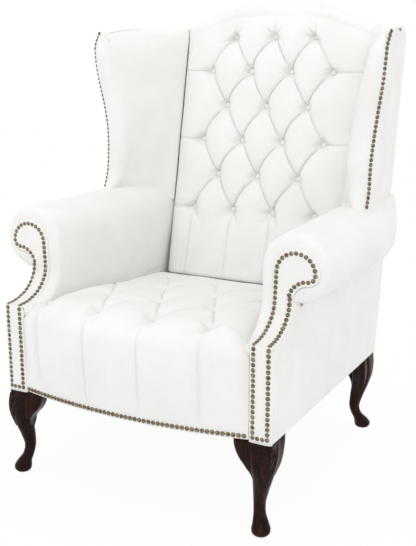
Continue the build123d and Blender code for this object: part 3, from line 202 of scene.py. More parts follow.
def ripple(a, b, size, seed):
    """Gentle unevenness about nought: nine sine waves of seeded direction, length and phase."""
    rng = np.random.default_rng(seed)
    total = np.zeros(np.broadcast(a, b).shape)
    for _ in range(9):
        turn, phase = rng.uniform(0, 2 * np.pi, 2)
        wave = 2 * np.pi / (size * rng.uniform(0.6, 1.7))
        total += np.sin((a * np.cos(turn) + b * np.sin(turn)) * wave + phase)
    return total / 3


def rear_y(z):
    """Plane of the outside back."""
    return rear_foot_y + rear_lean * (z - leg_height)


def button_y(z):
    """Plane of the back's buttons."""
    return back_first_row_y + back_lean * (z - back_first_row_z)


def back_half(z):
    """Half width of the back: wider with height, by the flare."""
    return back_half_low + back_flare * (z - back_low_z)


def back_edge(z, across):
    """Half width of the back's leather, which laps further over on its right above the arm."""
    return back_half(z) + np.where(across > 0, 0.013 * smooth((z - 0.52) / 0.10), 0.0022)


def crest_height(x):
    """Camel crest: the lower of a shallow bow and two straight shoulders, eased together."""
    share = np.abs(x) / body_half_width
    middle = crest_z - crest_bow_drop * share ** 2
    shoulder = crest_shoulder_z - crest_shoulder_drop * share
    ease = 0.004
    return (middle + shoulder - np.sqrt((middle - shoulder) ** 2 + ease ** 2)) / 2 + ease * 0.14


def bow(x):
    """How far the bowed front stands out at x."""
    return front_bow * (1 - (x / border_half_width) ** 2)


def places(*axes):
    """Array of places from arrays of x, y and z."""
    return np.stack(np.broadcast_arrays(*axes), axis=-1).astype(float)


# Making meshes

def cells(rows, columns, closed, flip=None):
    """Triangles of a grid. flip tells where a cell is split along its other diagonal."""
    i, j = np.meshgrid(np.arange(rows - 1), np.arange(columns if closed else columns - 1), indexing="ij")
    a, b = i * columns + j, i * columns + (j + 1) % columns
    d, c = a + columns, b + columns
    straight = np.stack([a, b, c, a, c, d], -1)
    other = np.stack([a, b, d, b, c, d], -1)
    both = straight if flip is None else np.where(flip[..., None], other, straight)
    return both.reshape(-1, 3)


def outward(points, faces):
    """Faces of a closed shell, turned so that the volume they enclose counts as positive."""
    a, b, c = (points[faces[:, k]] for k in range(3))
    volume = np.einsum("ij,ij->i", a, np.cross(b, c)).sum()
    return faces if volume > 0 else faces[:, ::-1]


def piece(name, points, faces, material, slot, replaces=(), fill=None):
    """Object from places and triangles, with no triangle of no size, riding on the chair."""
    sides = faces[:, [0, 1]], faces[:, [1, 2]], faces[:, [2, 0]]
    lengths = [np.linalg.norm(points[s[:, 0]] - points[s[:, 1]], axis=1) for s in sides]
    faces = faces[np.min(lengths, axis=0) > 1e-7]
    mesh = bpy.data.meshes.new(name)
    mesh.from_pydata(points.tolist(), [], faces.tolist())
    mesh.polygons.foreach_set("use_smooth", np.ones(len(faces), bool))
    mesh.update()
    obj = bpy.data.objects.new(name, mesh)
    bpy.context.scene.collection.objects.link(obj)
    obj.data.materials.append(material)
    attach(obj, "root")
    if replaces:
        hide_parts(*replaces)
    return obj


def tube(rings, flip=None, first_centre=None):
    """Closed shell through rings of places, with a fan over each end."""
    rows, columns = rings.shape[:2]
    start = rings[0].mean(0) if first_centre is None else np.array(first_centre)
    points = np.concatenate([rings.reshape(-1, 3), [start, rings[-1].mean(0)]])
    faces = [cells(rows, columns, True, flip)]
    ring = np.arange(columns)
    after = np.roll(ring, -1)
    first, last = rows * columns, rows * columns + 1
    faces.append(np.stack([after, ring, np.full(columns, first)], -1))
    top = (rows - 1) * columns
    faces.append(np.stack([top + ring, top + after, np.full(columns, last)], -1))
    faces = np.concatenate(faces)
    return points, outward(points, faces)


def slab(outer, inner):
    """Closed shell between two grids of the same size, stitched along their four edges."""
    rows, columns = outer.shape[:2]
    count = rows * columns
    points = np.concatenate([outer.reshape(-1, 3), inner.reshape(-1, 3)])
    front = cells(rows, columns, False)
    faces = [front, front[:, ::-1] + count]
    edge = np.concatenate([
        np.arange(columns), np.arange(1, rows) * columns + columns - 1,
        (rows - 1) * columns + np.arange(columns - 2, -1, -1), np.arange(rows - 2, -1, -1) * columns,
    ])
    a, b = edge[:-1], edge[1:]
    faces.append(np.stack([b, a, a + count], -1))
    faces.append(np.stack([b, a + count, b + count], -1))
    faces = np.concatenate(faces)
    return points, outward(points, faces)


def joined(shells):
    """Several shells as one."""
    points, faces, start = [], [], 0
    for p, f in shells:
        points.append(p)
        faces.append(f + start)
        start += len(p)
    return np.concatenate(points), np.concatenate(faces)


def mirrored(shell):
    """The shell on the other side of the chair, with its faces still outwards."""
    points, faces = shell
    return points * np.array([-1, 1, 1]), faces[:, ::-1]


def both_sides(name, shell, material, slot, nodes=(), fill=None):
    """A right-hand piece and its mirror image."""
    for side, placed in (("right", shell), ("left", mirrored(shell))):
        piece(f"{side}_{name}", *placed, material, slot, [f"{side}_{n}" for n in nodes], fill)


# Deep buttoning

def tufting(x, w, spacing, pitch, rows, half, high, crease, power, rate=4.5):
    """Fullness over the buttons, from 0 at a button to about 1 on top of a tuft.

    In the buttoned field, with p and q the humps of the two slanting coordinates, it is
    c (p + q - pq)^0.6 + (1 - c) (pq)^k, c being the height of a crease halfway between two
    buttons. Before the first row and after the last the creases turn into straight pleats, and
    from each even row a pleat runs out to the side. A pleat's groove starts at a button and comes
    up to 0.86 (1 - exp(-rate times the distance in rows)).
    """
    t = w / pitch
    last, last_even = rows - 1, rows - 2
    far = np.abs(x) / spacing

    def diamonds(at):
        """The buttoned field."""
        p = hump(x / spacing + 0.5 + at / 2)
        q = hump(x / spacing + 0.5 - at / 2)
        valley = (p + q - p * q) ** 0.6
        return crease * valley + (1 - crease) * (p * q) ** power

    def level(away):
        """Height of a straight pleat's groove at a distance from its button."""
        return 0.86 * (1 - np.exp(-rate * np.maximum(away, 0)))

    def pleats(phase, away):
        """Straight pleats, with a tuft's round between each two."""
        low = level(away)
        return low + (1 - low) * hump(x / spacing + phase) ** (0.8 * power)

    value = diamonds(t)
    for away, phase in ((-t, 0.5), (t - last, 0.0)):
        turned = blend(diamonds(t), pleats(phase, away), smooth(away / 0.6))
        value = np.where(away > 0, turned, value)
    turn = np.mod(t, 2)
    reach = np.where(t <= 0, 1.5, np.where(t >= last, 1.0, 1 + np.abs(1 - turn) / 2))
    out = np.clip((far - reach) * spacing / np.maximum(half - reach * spacing, 0.001), 0, 1)
    run = np.where(t < 0, 0.5, turn / 2)
    upper = np.clip((t - last_even) / (high / pitch - last_even), 0, 1) / 2
    run = np.where(t >= last_even, upper, run)
    start = crease * hump(t) ** 0.6
    start = np.where(t < 0, level(-t), np.where(t > last, level(t - last), start))
    pleat = level(out * (half - reach * spacing) / pitch)
    rise = pleat + (1 - pleat) * hump(run * 0.9999) ** power
    swell = (1 - (1 - np.clip(out / 0.5, 0, 1)) ** 2) ** power
    fall = (1 - np.clip((out - 0.4) / 0.6, 0, 1) ** 3) ** 0.5
    side = (start * (1 - out) * (1 - swell) + rise * swell) * fall
    return np.where(far > reach, side, value)


def crease_bend(x, w, spacing, pitch, rows, amount):
    """Sideways shift that bows the creases: the ones that climb to the right most.

    It is spacing times amount times (a quarter of one slanting hump, less the other), and dies
    outside the buttoned field.
    """
    t, far = w / pitch, np.abs(x) / spacing
    field = smooth((t + 0.5) / 0.5) * smooth((rows - 0.5 - t) / 0.5) * smooth((1.9 - far) / 0.4)
    climb = hump(x / spacing + 0.5 + t / 2)
    fall = hump(x / spacing + 0.5 - t / 2)
    return spacing * amount * (0.25 * fall - climb) * field


def dimples(x, w, buttons, bowl, reach, depth, seed):
    """Share of the fullness left round each button, and the short folds that run out from it.

    The share is 1 - exp(-(r / bowl)^3) - 0.15 exp(-(r / bowl)^2), the least over all buttons. The
    folds are -|sum of three cosines of the turn|^0.7, times (r / reach) exp(1 - r / reach), which
    peaks at the reach, and times exp(-(r / 3 reach)^2), which ends them.
    """
    rng = np.random.default_rng(seed)
    left, folds = np.ones(x.shape), np.zeros(x.shape)
    for bx, bw in buttons:
        dx, dw = x - bx, w - bw
        r, turn = np.hypot(dx, dw), np.arctan2(dw, dx)
        left = np.minimum(left, 1 - np.exp(-(r / bowl) ** 3) - 0.15 * np.exp(-(r / bowl) ** 2))
        wave = sum(np.cos(count * turn + rng.uniform(0, 2 * np.pi)) * rng.uniform(0.5, 1)
                   for count in (5, 8, 11))
        folds -= (np.abs(wave) ** 0.7 * (r / reach) * np.exp(1 - r / reach)
                  * np.exp(-(r / reach / 3) ** 2))
    return left, folds * depth


def fold_lines(x, spacing, phase, width, flap, height):
    """Pleats with a folded edge: a narrow groove at each, and a low flap beside it.

    With d the distance from the nearest pleat, the groove is -2.2 height exp(-(d / width)^2), and
    the flap adds the height between d = -flap and d = 0.
    """
    u = x / spacing + phase
    away = (u - np.round(u)) * spacing
    band = smooth((away + flap) / 0.0025) * (1 - smooth((away + 0.0008) / 0.0016))
    return height * band - 2.2 * height * np.exp(-(away / width) ** 2)


def button_places(spacing, pitch, rows):
    """Rows of four and three buttons by turns, the first of four."""
    spots = []
    for row in range(rows):
        count = 3 if row % 2 else 4
        spots += [((i - (count - 1) / 2) * spacing, row * pitch) for i in range(count)]
    return spots


def dome_shell(centres, normals, radius, height, sides, rings, sunk=0.0):
    """Low domes on a surface: rings at radius cos(a) and height sin(a) along each normal.

    sunk is how far the rim's own wall runs down into the surface.
    """
    normals = normals / np.linalg.norm(normals, axis=1, keepdims=True)
    helper = np.where(np.abs(normals[:, 2:3]) > 0.9, [[1.0, 0, 0]], [[0, 0, 1.0]])
    across = np.cross(normals, helper)
    across /= np.linalg.norm(across, axis=1, keepdims=True)
    up = np.cross(normals, across)
    turn = np.arange(sides) * 2 * np.pi / sides
    around = across[:, None] * np.cos(turn)[None, :, None] + up[:, None] * np.sin(turn)[None, :, None]
    climb = np.linspace(0, np.pi / 2, rings + 1)[:-1]
    levels = [(1.0, -sunk)] + [(np.cos(a), height * np.sin(a)) for a in climb]
    points = [centres[:, None] + around * radius * r + normals[:, None] * h for r, h in levels]
    points = np.stack(points, 1)
    tip = centres + normals * height
    ring = np.arange(sides)
    top = (len(levels) - 1) * sides
    cap = np.stack([top + ring, top + np.roll(ring, -1), np.full(sides, top + sides)], -1)
    one = np.concatenate([cells(len(levels), sides, True), cap])
    whole, faces = joined([(np.concatenate([points[k].reshape(-1, 3), tip[k:k + 1]]), one)
                           for k in range(len(centres))])
    a, b, c = (whole[faces[:1, k]] for k in range(3))
    facing = np.cross(b - a, c - a)[0] @ ((a + b + c)[0] / 3 - centres[0])
    return whole, faces if facing > 0 else faces[:, ::-1]


# Materials: effects as groups, shaders in each material

def node_group(name, inputs, outputs):
    """Empty shader group with named sockets."""
    group = bpy.data.node_groups.new(name, "ShaderNodeTree")
    for label, kind, value in inputs:
        socket = group.interface.new_socket(label, in_out="INPUT", socket_type=kind)
        if value is not None:
            socket.default_value = value
    for label, kind in outputs:
        group.interface.new_socket(label, in_out="OUTPUT", socket_type=kind)
    return group, group.nodes.new("NodeGroupInput"), group.nodes.new("NodeGroupOutput")


def add(tree, kind, settings=None, **inputs):
    """Node in a tree, with its options, and its sockets, by name or as i and a number, set or linked."""
    node = tree.nodes.new(kind)
    for key, value in (settings or {}).items():
        setattr(node, key, value)
    for key, value in inputs.items():
        numbered = key[0] == "i" and key[1:].isdigit()
        socket = node.inputs[int(key[1:]) if numbered else key.replace("_", " ")]
        if isinstance(value, bpy.types.NodeSocket):
            tree.links.new(value, socket)
        else:
            socket.default_value = value
    return node


def make_grain_group():
    """Pebbled leather: small cells with soft edges, finer pores, and broad pale and dull areas."""
    group, source, sink = node_group(
        "leather_grain",
        [("Vector", "NodeSocketVector", None), ("Pebble", "NodeSocketFloat", 700.0),
         ("Patch", "NodeSocketFloat", 9.0)],
        [("Height", "NodeSocketFloat"), ("Patches", "NodeSocketFloat"), ("Valleys", "NodeSocketFloat")])
    link = group.links.new
    vector = source.outputs["Vector"]
    bend = add(group, "ShaderNodeTexNoise", Vector=vector, Scale=60.0, Detail=2.0)
    bent = add(group, "ShaderNodeVectorMath", {"operation": "MULTIPLY_ADD"},
               i0=bend.outputs["Color"], i1=(0.0012, 0.0012, 0.0012), i2=vector)
    pebbles = add(group, "ShaderNodeTexVoronoi", {"feature": "DISTANCE_TO_EDGE"},
                  Vector=bent.outputs[0], Scale=source.outputs["Pebble"])
    soft = add(group, "ShaderNodeMapRange", {"interpolation_type": "SMOOTHSTEP"},
               Value=pebbles.outputs["Distance"], From_Min=0.0, From_Max=0.22)
    pores = add(group, "ShaderNodeTexNoise", Vector=vector, Scale=2600.0, Detail=1.0)
    mix = add(group, "ShaderNodeMath", {"operation": "MULTIPLY_ADD"},
              i0=pores.outputs[0], i1=0.35, i2=soft.outputs[0])
    patches = add(group, "ShaderNodeTexNoise", Vector=vector, Scale=source.outputs["Patch"], Detail=4.0,
                  Roughness=0.6)
    link(mix.outputs[0], sink.inputs["Height"])
    link(patches.outputs[0], sink.inputs["Patches"])
    link(soft.outputs[0], sink.inputs["Valleys"])
    return group


def make_wood_group():
    """Wood grain: long streaks along a vector's third axis, with fine pores."""
    group, source, sink = node_group(
        "wood_grain",
        [("Vector", "NodeSocketVector", None), ("Streak", "NodeSocketFloat", 60.0)],
        [("Streaks", "NodeSocketFloat"), ("Pores", "NodeSocketFloat")])
    link = group.links.new
    squeeze = add(group, "ShaderNodeVectorMath", {"operation": "MULTIPLY"},
                  i0=source.outputs["Vector"], i1=(1.0, 1.0, 0.09))
    bands = add(group, "ShaderNodeTexNoise", Vector=squeeze.outputs[0], Scale=source.outputs["Streak"],
                Detail=5.0, Roughness=0.62, Distortion=0.6)
    pores = add(group, "ShaderNodeTexNoise", Vector=squeeze.outputs[0], Scale=900.0, Detail=2.0)
    link(bands.outputs[0], sink.inputs["Streaks"])
    link(pores.outputs[0], sink.inputs["Pores"])
    return group


grain_group = make_grain_group()
wood_group = make_wood_group()


def start_material(name):
    """Material with a Principled shader, and the object's own coordinates."""
    material = bpy.data.materials.new(name)
    material.use_nodes = True
    tree = material.node_tree
    shader = tree.nodes["Principled BSDF"]
    return material, tree, shader, tree.nodes.new("ShaderNodeTexCoord").outputs["Object"]


def ramp(tree, value, stops):
    """Colour ramp of places and colours."""
    node = add(tree, "ShaderNodeValToRGB", Fac=value)
    elements = node.color_ramp.elements
    while len(elements) < len(stops):
        elements.new(0.5)
    for element, (place, colour) in zip(elements, stops):
        element.position = place
        element.color = (*colour, 1)
    return node.outputs["Color"]


def group_node(tree, group, **inputs):
    """An effect's group placed in a material, with its sockets set or linked."""
    node = tree.nodes.new("ShaderNodeGroup")
    node.node_tree = group
    for key, value in inputs.items():
        if isinstance(value, bpy.types.NodeSocket):
            tree.links.new(value, node.inputs[key])
        else:
            node.inputs[key].default_value = value
    return node


def leather(name, pale, dull, pebble, depth, roughness):
    """White hide: pale and duller areas, a fine pebbled grain with painted shade in its valleys, and a soft
    sheen.
    """
    material, tree, shader, coords = start_material(name)
    grain = group_node(tree, grain_group, Vector=coords, Pebble=pebble)
    colour = ramp(tree, grain.outputs["Patches"], [(0.35, dull), (0.62, pale)])
    # Painted shade: the base colour is darkened a little in the grain's valleys, where shade falls
    painted_valley_shade = ramp(tree, grain.outputs["Valleys"], [(0.0, (0.80, 0.79, 0.77)), (0.6, (1, 1, 1))])
    valleys = add(tree, "ShaderNodeMixRGB", {"blend_type": "MULTIPLY"}, Fac=0.10,
                  Color1=colour, Color2=painted_valley_shade)
    tree.links.new(valleys.outputs[0], shader.inputs["Base Color"])
    rough = add(tree, "ShaderNodeMapRange", Value=grain.outputs["Patches"], From_Min=0.3, From_Max=0.7,
                To_Min=roughness + 0.07, To_Max=roughness - 0.05)
    tree.links.new(rough.outputs[0], shader.inputs["Roughness"])
    bump = add(tree, "ShaderNodeBump", Height=grain.outputs["Height"], Strength=depth, Distance=0.0004)
    tree.links.new(bump.outputs[0], shader.inputs["Normal"])
    shader.inputs["Specular IOR Level"].default_value = 0.42
    return material


def timber(name, dark, middle, pale, streak, roughness, coat, depth):
    """Polished or plain wood with streaks along the height."""
    material, tree, shader, coords = start_material(name)
    wood = group_node(tree, wood_group, Vector=coords, Streak=streak)
    colour = ramp(tree, wood.outputs["Streaks"], [(0.30, dark), (0.52, middle), (0.74, pale)])
    tree.links.new(colour, shader.inputs["Base Color"])
    rough = add(tree, "ShaderNodeMapRange", Value=wood.outputs["Pores"], From_Min=0.3, From_Max=0.7,
                To_Min=roughness - 0.04, To_Max=roughness + 0.08)
    tree.links.new(rough.outputs[0], shader.inputs["Roughness"])
    bump = add(tree, "ShaderNodeBump", Height=wood.outputs["Pores"], Strength=depth, Distance=0.0003)
    tree.links.new(bump.outputs[0], shader.inputs["Normal"])
    shader.inputs["Coat Weight"].default_value = coat
    shader.inputs["Specular IOR Level"].default_value = 0.09
    shader.inputs["Coat Roughness"].default_value = 0.12
    return material


def antique_metal(name, dark, pale, roughness):
    """Old metal: dull dark film over brighter rubbed places, with small dents."""
    material, tree, shader, coords = start_material(name)
    film = add(tree, "ShaderNodeTexNoise", Vector=coords, Scale=260.0, Detail=4.0, Roughness=0.65)
    colour = ramp(tree, film.outputs[0], [(0.38, dark), (0.66, pale)])
    tree.links.new(colour, shader.inputs["Base Color"])
    rough = add(tree, "ShaderNodeMapRange", Value=film.outputs[0], From_Min=0.35, From_Max=0.7,
                To_Min=roughness + 0.14, To_Max=roughness)
    tree.links.new(rough.outputs[0], shader.inputs["Roughness"])
    dents = add(tree, "ShaderNodeTexNoise", Vector=coords, Scale=900.0, Detail=2.0)
    bump = add(tree, "ShaderNodeBump", Height=dents.outputs[0], Strength=0.25, Distance=0.0003)
    tree.links.new(bump.outputs[0], shader.inputs["Normal"])
    shader.inputs["Metallic"].default_value = 1.0
    return material


def woven(name, warp, weft, threads):
    """Plain weave: two crossing sine ribbings, and the yarns' two colours."""
    material, tree, shader, coords = start_material(name)
    across, along = (
        add(tree, "ShaderNodeTexWave", {"bands_direction": way}, Vector=coords, Scale=threads,
            Distortion=0.4).outputs["Fac"] for way in ("X", "Y"))
    height = add(tree, "ShaderNodeMath", {"operation": "MAXIMUM"}, i0=across, i1=along)
    which = add(tree, "ShaderNodeMath", {"operation": "GREATER_THAN"}, i0=across, i1=along)
    colour = ramp(tree, which.outputs[0], [(0.0, warp), (1.0, weft)])
    tree.links.new(colour, shader.inputs["Base Color"])
    bump = add(tree, "ShaderNodeBump", Height=height.outputs[0], Strength=0.5, Distance=0.0006)
    tree.links.new(bump.outputs[0], shader.inputs["Normal"])
    shader.inputs["Roughness"].default_value = 0.92
    return material


def open_foam(name, dark, pale):
    """Stuffing: open cells with painted shade darkening their pits."""
    material, tree, shader, coords = start_material(name)
    pits = add(tree, "ShaderNodeTexVoronoi", Vector=coords, Scale=420.0)
    # Painted shade: the colour is darker in each cell's pit, where shade falls
    colour = ramp(tree, pits.outputs["Distance"], [(0.05, dark), (0.45, pale)])
    tree.links.new(colour, shader.inputs["Base Color"])
    bump = add(tree, "ShaderNodeBump", Height=pits.outputs["Distance"], Strength=0.5, Distance=0.001)
    tree.links.new(bump.outputs[0], shader.inputs["Normal"])
    shader.inputs["Roughness"].default_value = 0.95
    return material


white_leather = leather("white_leather", (0.900, 0.902, 0.883), (0.862, 0.863, 0.842),
                        pebble=620.0, depth=0.30, roughness=0.40)
button_leather = leather("button_leather", (0.885, 0.887, 0.868), (0.84, 0.84, 0.82),
                         pebble=700.0, depth=0.22, roughness=0.38)
mahogany = timber("dark_mahogany", (0.0050, 0.0019, 0.0014), (0.018, 0.0056, 0.0036),
                  (0.054, 0.0160, 0.0082), streak=70.0, roughness=0.26, coat=0.02, depth=0.25)
beech = timber("beech_frame", (0.40, 0.26, 0.14), (0.52, 0.36, 0.21),
               (0.62, 0.46, 0.29), streak=45.0, roughness=0.60, coat=0.0, depth=0.5)
brass = antique_metal("antique_brass", (0.085, 0.064, 0.038), (0.42, 0.34, 0.22), 0.27)
steel = antique_metal("bolt_steel", (0.18, 0.18, 0.18), (0.42, 0.42, 0.41), 0.35)
jute = woven("jute_webbing", (0.33, 0.23, 0.13), (0.42, 0.31, 0.18), 220.0)
black_cloth = woven("black_dust_cloth", (0.022, 0.022, 0.023), (0.034, 0.034, 0.035), 420.0)
stuffing = open_foam("pale_foam", (0.45, 0.41, 0.30), (0.72, 0.68, 0.55))


# Back: buttoned face, rolled camel crest, the leather turned down behind it

cells_per_tuft = 30
back_puff = 0.027
back_crease = 0.62
back_power = 0.44


def back_rows_of(step):
    """Distances up the back from the first row of buttons: coarse at the foot, then even."""
    foot = np.linspace(back_low_z - back_first_row_z, 0, 32)[:-1]
    return np.concatenate([foot, np.arange(back_rows * cells_per_tuft + 1) * step])


def make_back():
    """The back as closed profiles side by side, each with its face, crest, tail and inside."""
    column_step = back_spacing / (2 * cells_per_tuft)
    row_step = back_pitch / cells_per_tuft
    last = (back_rows - 1) * back_pitch
    last_even = (back_rows - 2) * back_pitch
    high = back_rows * back_pitch
    reach = 1.5 * back_spacing
    side_run = 0.06
    inner = np.arange(-3 * cells_per_tuft, 3 * cells_per_tuft + 1) * column_step
    side = 1 - (1 - np.linspace(0, 1, 29)[1:]) ** 1.7
    w = back_rows_of(row_step)[:, None]
    base = np.concatenate([-reach - side[::-1] * side_run, inner, reach + side * side_run])[None, :]

    def height_at(x):
        """Height of each row, whose upper ones close in on the crest, and the share of that way."""
        top = crest_height(x) - crest_roll
        start = blend(last, last_even, np.clip((np.abs(x) / back_spacing - 1) * 2, 0, 1))
        share = np.clip((w - start) / (high - start), 0, 1)
        z = np.where(w <= start, back_first_row_z + w,
                     blend(back_first_row_z + start, top, share))
        return z, share

    # The side columns are spread out to the back's edge, whose place hangs on the height
    x = base + 0 * w
    for _ in range(2):
        z, share = height_at(x)
        half = back_edge(z, base)
        outer = reach + (np.abs(base) - reach) / side_run * (half - reach)
        x = np.where(np.abs(base) > reach + 1e-9, np.sign(base) * outer, base + 0 * w)
    z, share = height_at(x)
    half = back_edge(z, base)
    shape = back_spacing, back_pitch, back_rows, half, high, back_crease, back_power
    fullness = tufting(x, w + 0 * x, *shape)
    spots = button_places(back_spacing, back_pitch, back_rows)
    left, folds = dimples(x, w + 0 * x, spots, bowl=0.0120, reach=0.012, depth=0.0021, seed=11)
    edge = (1 - np.clip((np.abs(x) / half - 0.93) / 0.07, 0, 1) ** 2)
    foot = smooth((z - back_low_z) / 0.008)
    t, last_t = w / back_pitch + 0 * x, back_rows - 1
    pleat = pleat_width, pleat_flap, pleat_ridge
    below = fold_lines(x, back_spacing, 0.5, *pleat) * smooth(-t / 0.15)
    above = fold_lines(x, back_spacing, 0.0, *pleat) * smooth((t - last_t) / 0.15)
    across = np.abs(np.mod(t + 1, 2) - 1) * back_pitch
    outer = smooth((np.abs(x) / back_spacing - 1.52) / 0.06) * (t > -0.5) * (t < last_t)
    lines = below + above - 0.0016 * outer * np.exp(-(across / 0.0032) ** 2)
    # A narrow groove along each crease that climbs to the right; such creases lie 96.6 mm apart
    crease_distance = 0.0966
    climb = x / back_spacing + 0.5 - t / 2
    climb = np.abs(climb - np.round(climb)) * crease_distance
    inside = smooth(t / 0.1) * smooth((last_t - t) / 0.1)
    inside = inside * smooth((1.5 - np.abs(x) / back_spacing) / 0.06)
    lines = lines - 0.0022 * inside * np.exp(-(climb / 0.0026) ** 2)
    swell = (back_puff * np.maximum(fullness, 0.12) * left + folds * edge + lines) * foot
    top_line = crest_lift - 0.0055 * (1 - tufting(x, high + 0 * x, *shape))
    uneven = 0.0007 * ripple(x, z, size=0.09, seed=5) * edge * foot
    y = button_y(z) - blend(swell, top_line, share ** 2) - uneven
    bend = crease_bend(x, w + 0 * x, back_spacing, back_pitch, back_rows, amount=0.085)
    face = places(x + bend, y, z)

    # The crest: half a turn about the middle of the roll
    xt = x[-1]
    middle = crest_height(xt) - crest_roll
    front, rear = face[-1, :, 1], rear_y(middle) + crest_wrap
    shape = back_spacing, back_pitch, back_rows, half[-1], high, back_crease, back_power
    grooves = 0.0055 * (1 - tufting(xt, high + 0 * xt, *shape))
    grooves -= fold_lines(xt, back_spacing, 0.0, *pleat)
    turns = np.linspace(0, np.pi, 19)[1:, None]
    fade = np.clip(1.15 - turns / np.pi * 1.1, 0, 1)
    crest = places(xt + 0 * turns,
                   (front + rear) / 2 - (rear - front) / 2 * np.cos(turns),
                   middle + (crest_roll - grooves * fade) * np.sin(turns))

    def line(drop, out, ahead=False):
        """Line along the crest, some way below it, behind the frame or inside the stuffing."""
        zz = crest_height(xt) - drop
        yy = button_y(zz) + back_pad_least if ahead else rear_y(zz) + out
        return places(xt, yy, zz)[None]

    tail = [line(crest_roll + crest_tail * s, crest_wrap) for s in (0.5, 0.96)]
    tail += [line(crest_roll + crest_tail, crest_wrap - 0.002), line(crest_roll + crest_tail, gap)]
    inside = [line(crest_stuffing - gap, gap), line(crest_stuffing - gap, 0, True)]
    foot_z = np.full_like(xt, back_low_z)
    inside.append(places(x[0], button_y(foot_z) + back_pad_least, foot_z)[None])
    profiles = np.concatenate([face, crest] + tail + inside)
    rings = np.swapaxes(profiles, 0, 1)

    def spine(ring):
        """Line inside the stuffing that an end profile shrinks towards."""
        zz = np.minimum(ring[:, 2], crest_height(ring[:, 0]) - crest_roll)
        return places(ring[:, 0], button_y(zz) + back_pad_least / 2, zz)

    ends = [np.array([blend(rings[e], spine(rings[e]), s) for s in (0.5, 0.98)]) for e in (0, -1)]
    rings = np.concatenate([ends[0][::-1], rings, ends[1]])
    # Creases run from corner to corner of the cells, so each cell is split along its own crease
    count_v = rings.shape[1]
    mid_x = (rings[:-1, :, 0] + rings[1:, :, 0]) / 2
    level = np.concatenate([w[:, 0], np.full(count_v - len(w), high)])
    mid_w = (level + np.roll(level, -1)) / 2
    climbs = (np.floor(mid_w[None, :] / back_pitch) + np.floor(2 * mid_x / back_spacing)) % 2 == 1
    return tube(rings, climbs)


piece("back_leather", *make_back(), white_leather, "leather", ["back_cover"], fill=0.8)


def back_button_shell():
    """Domes at the back's buttons, square to its leaning plane."""
    spots = np.array(button_places(back_spacing, back_pitch, back_rows))
    z = back_first_row_z + spots[:, 1]
    lift = 0.0006
    centres = places(spots[:, 0], button_y(z) - lift, z - lift * back_lean)
    normals = np.tile([0.0, -1.0, back_lean], (len(spots), 1))
    return dome_shell(centres, normals, button_radius, button_height, sides=20, rings=6, sunk=0.004)


piece("back_button_domes", *back_button_shell(), button_leather, "leather", ["back_buttons"])


# Seat: buttoned top, rolled front edge and pleated, bowed border

seat_puff = 0.020
border_full = 0.012
seat_edge_drop = 0.016


def seat_half(y):
    """Half the width of the seat, between the arms."""
    share = np.clip((y - arm_front_y) / (arm_taper_y - arm_front_y), 0, 1)
    return blend(arm_inside_front, arm_inside_rear, share) - gap


def seat_tuft(x, w, half):
    """Fullness of the seat, whose buttoning lies a little to one side."""
    across = x - seat_shift
    room = np.where(across > 0, half - seat_shift, half + seat_shift)
    high = seat_rear_y - seat_first_row_y
    return tufting(across, w, seat_spacing, seat_pitch, seat_rows, room, high,
                   crease=0.56, power=0.38, rate=9.0)


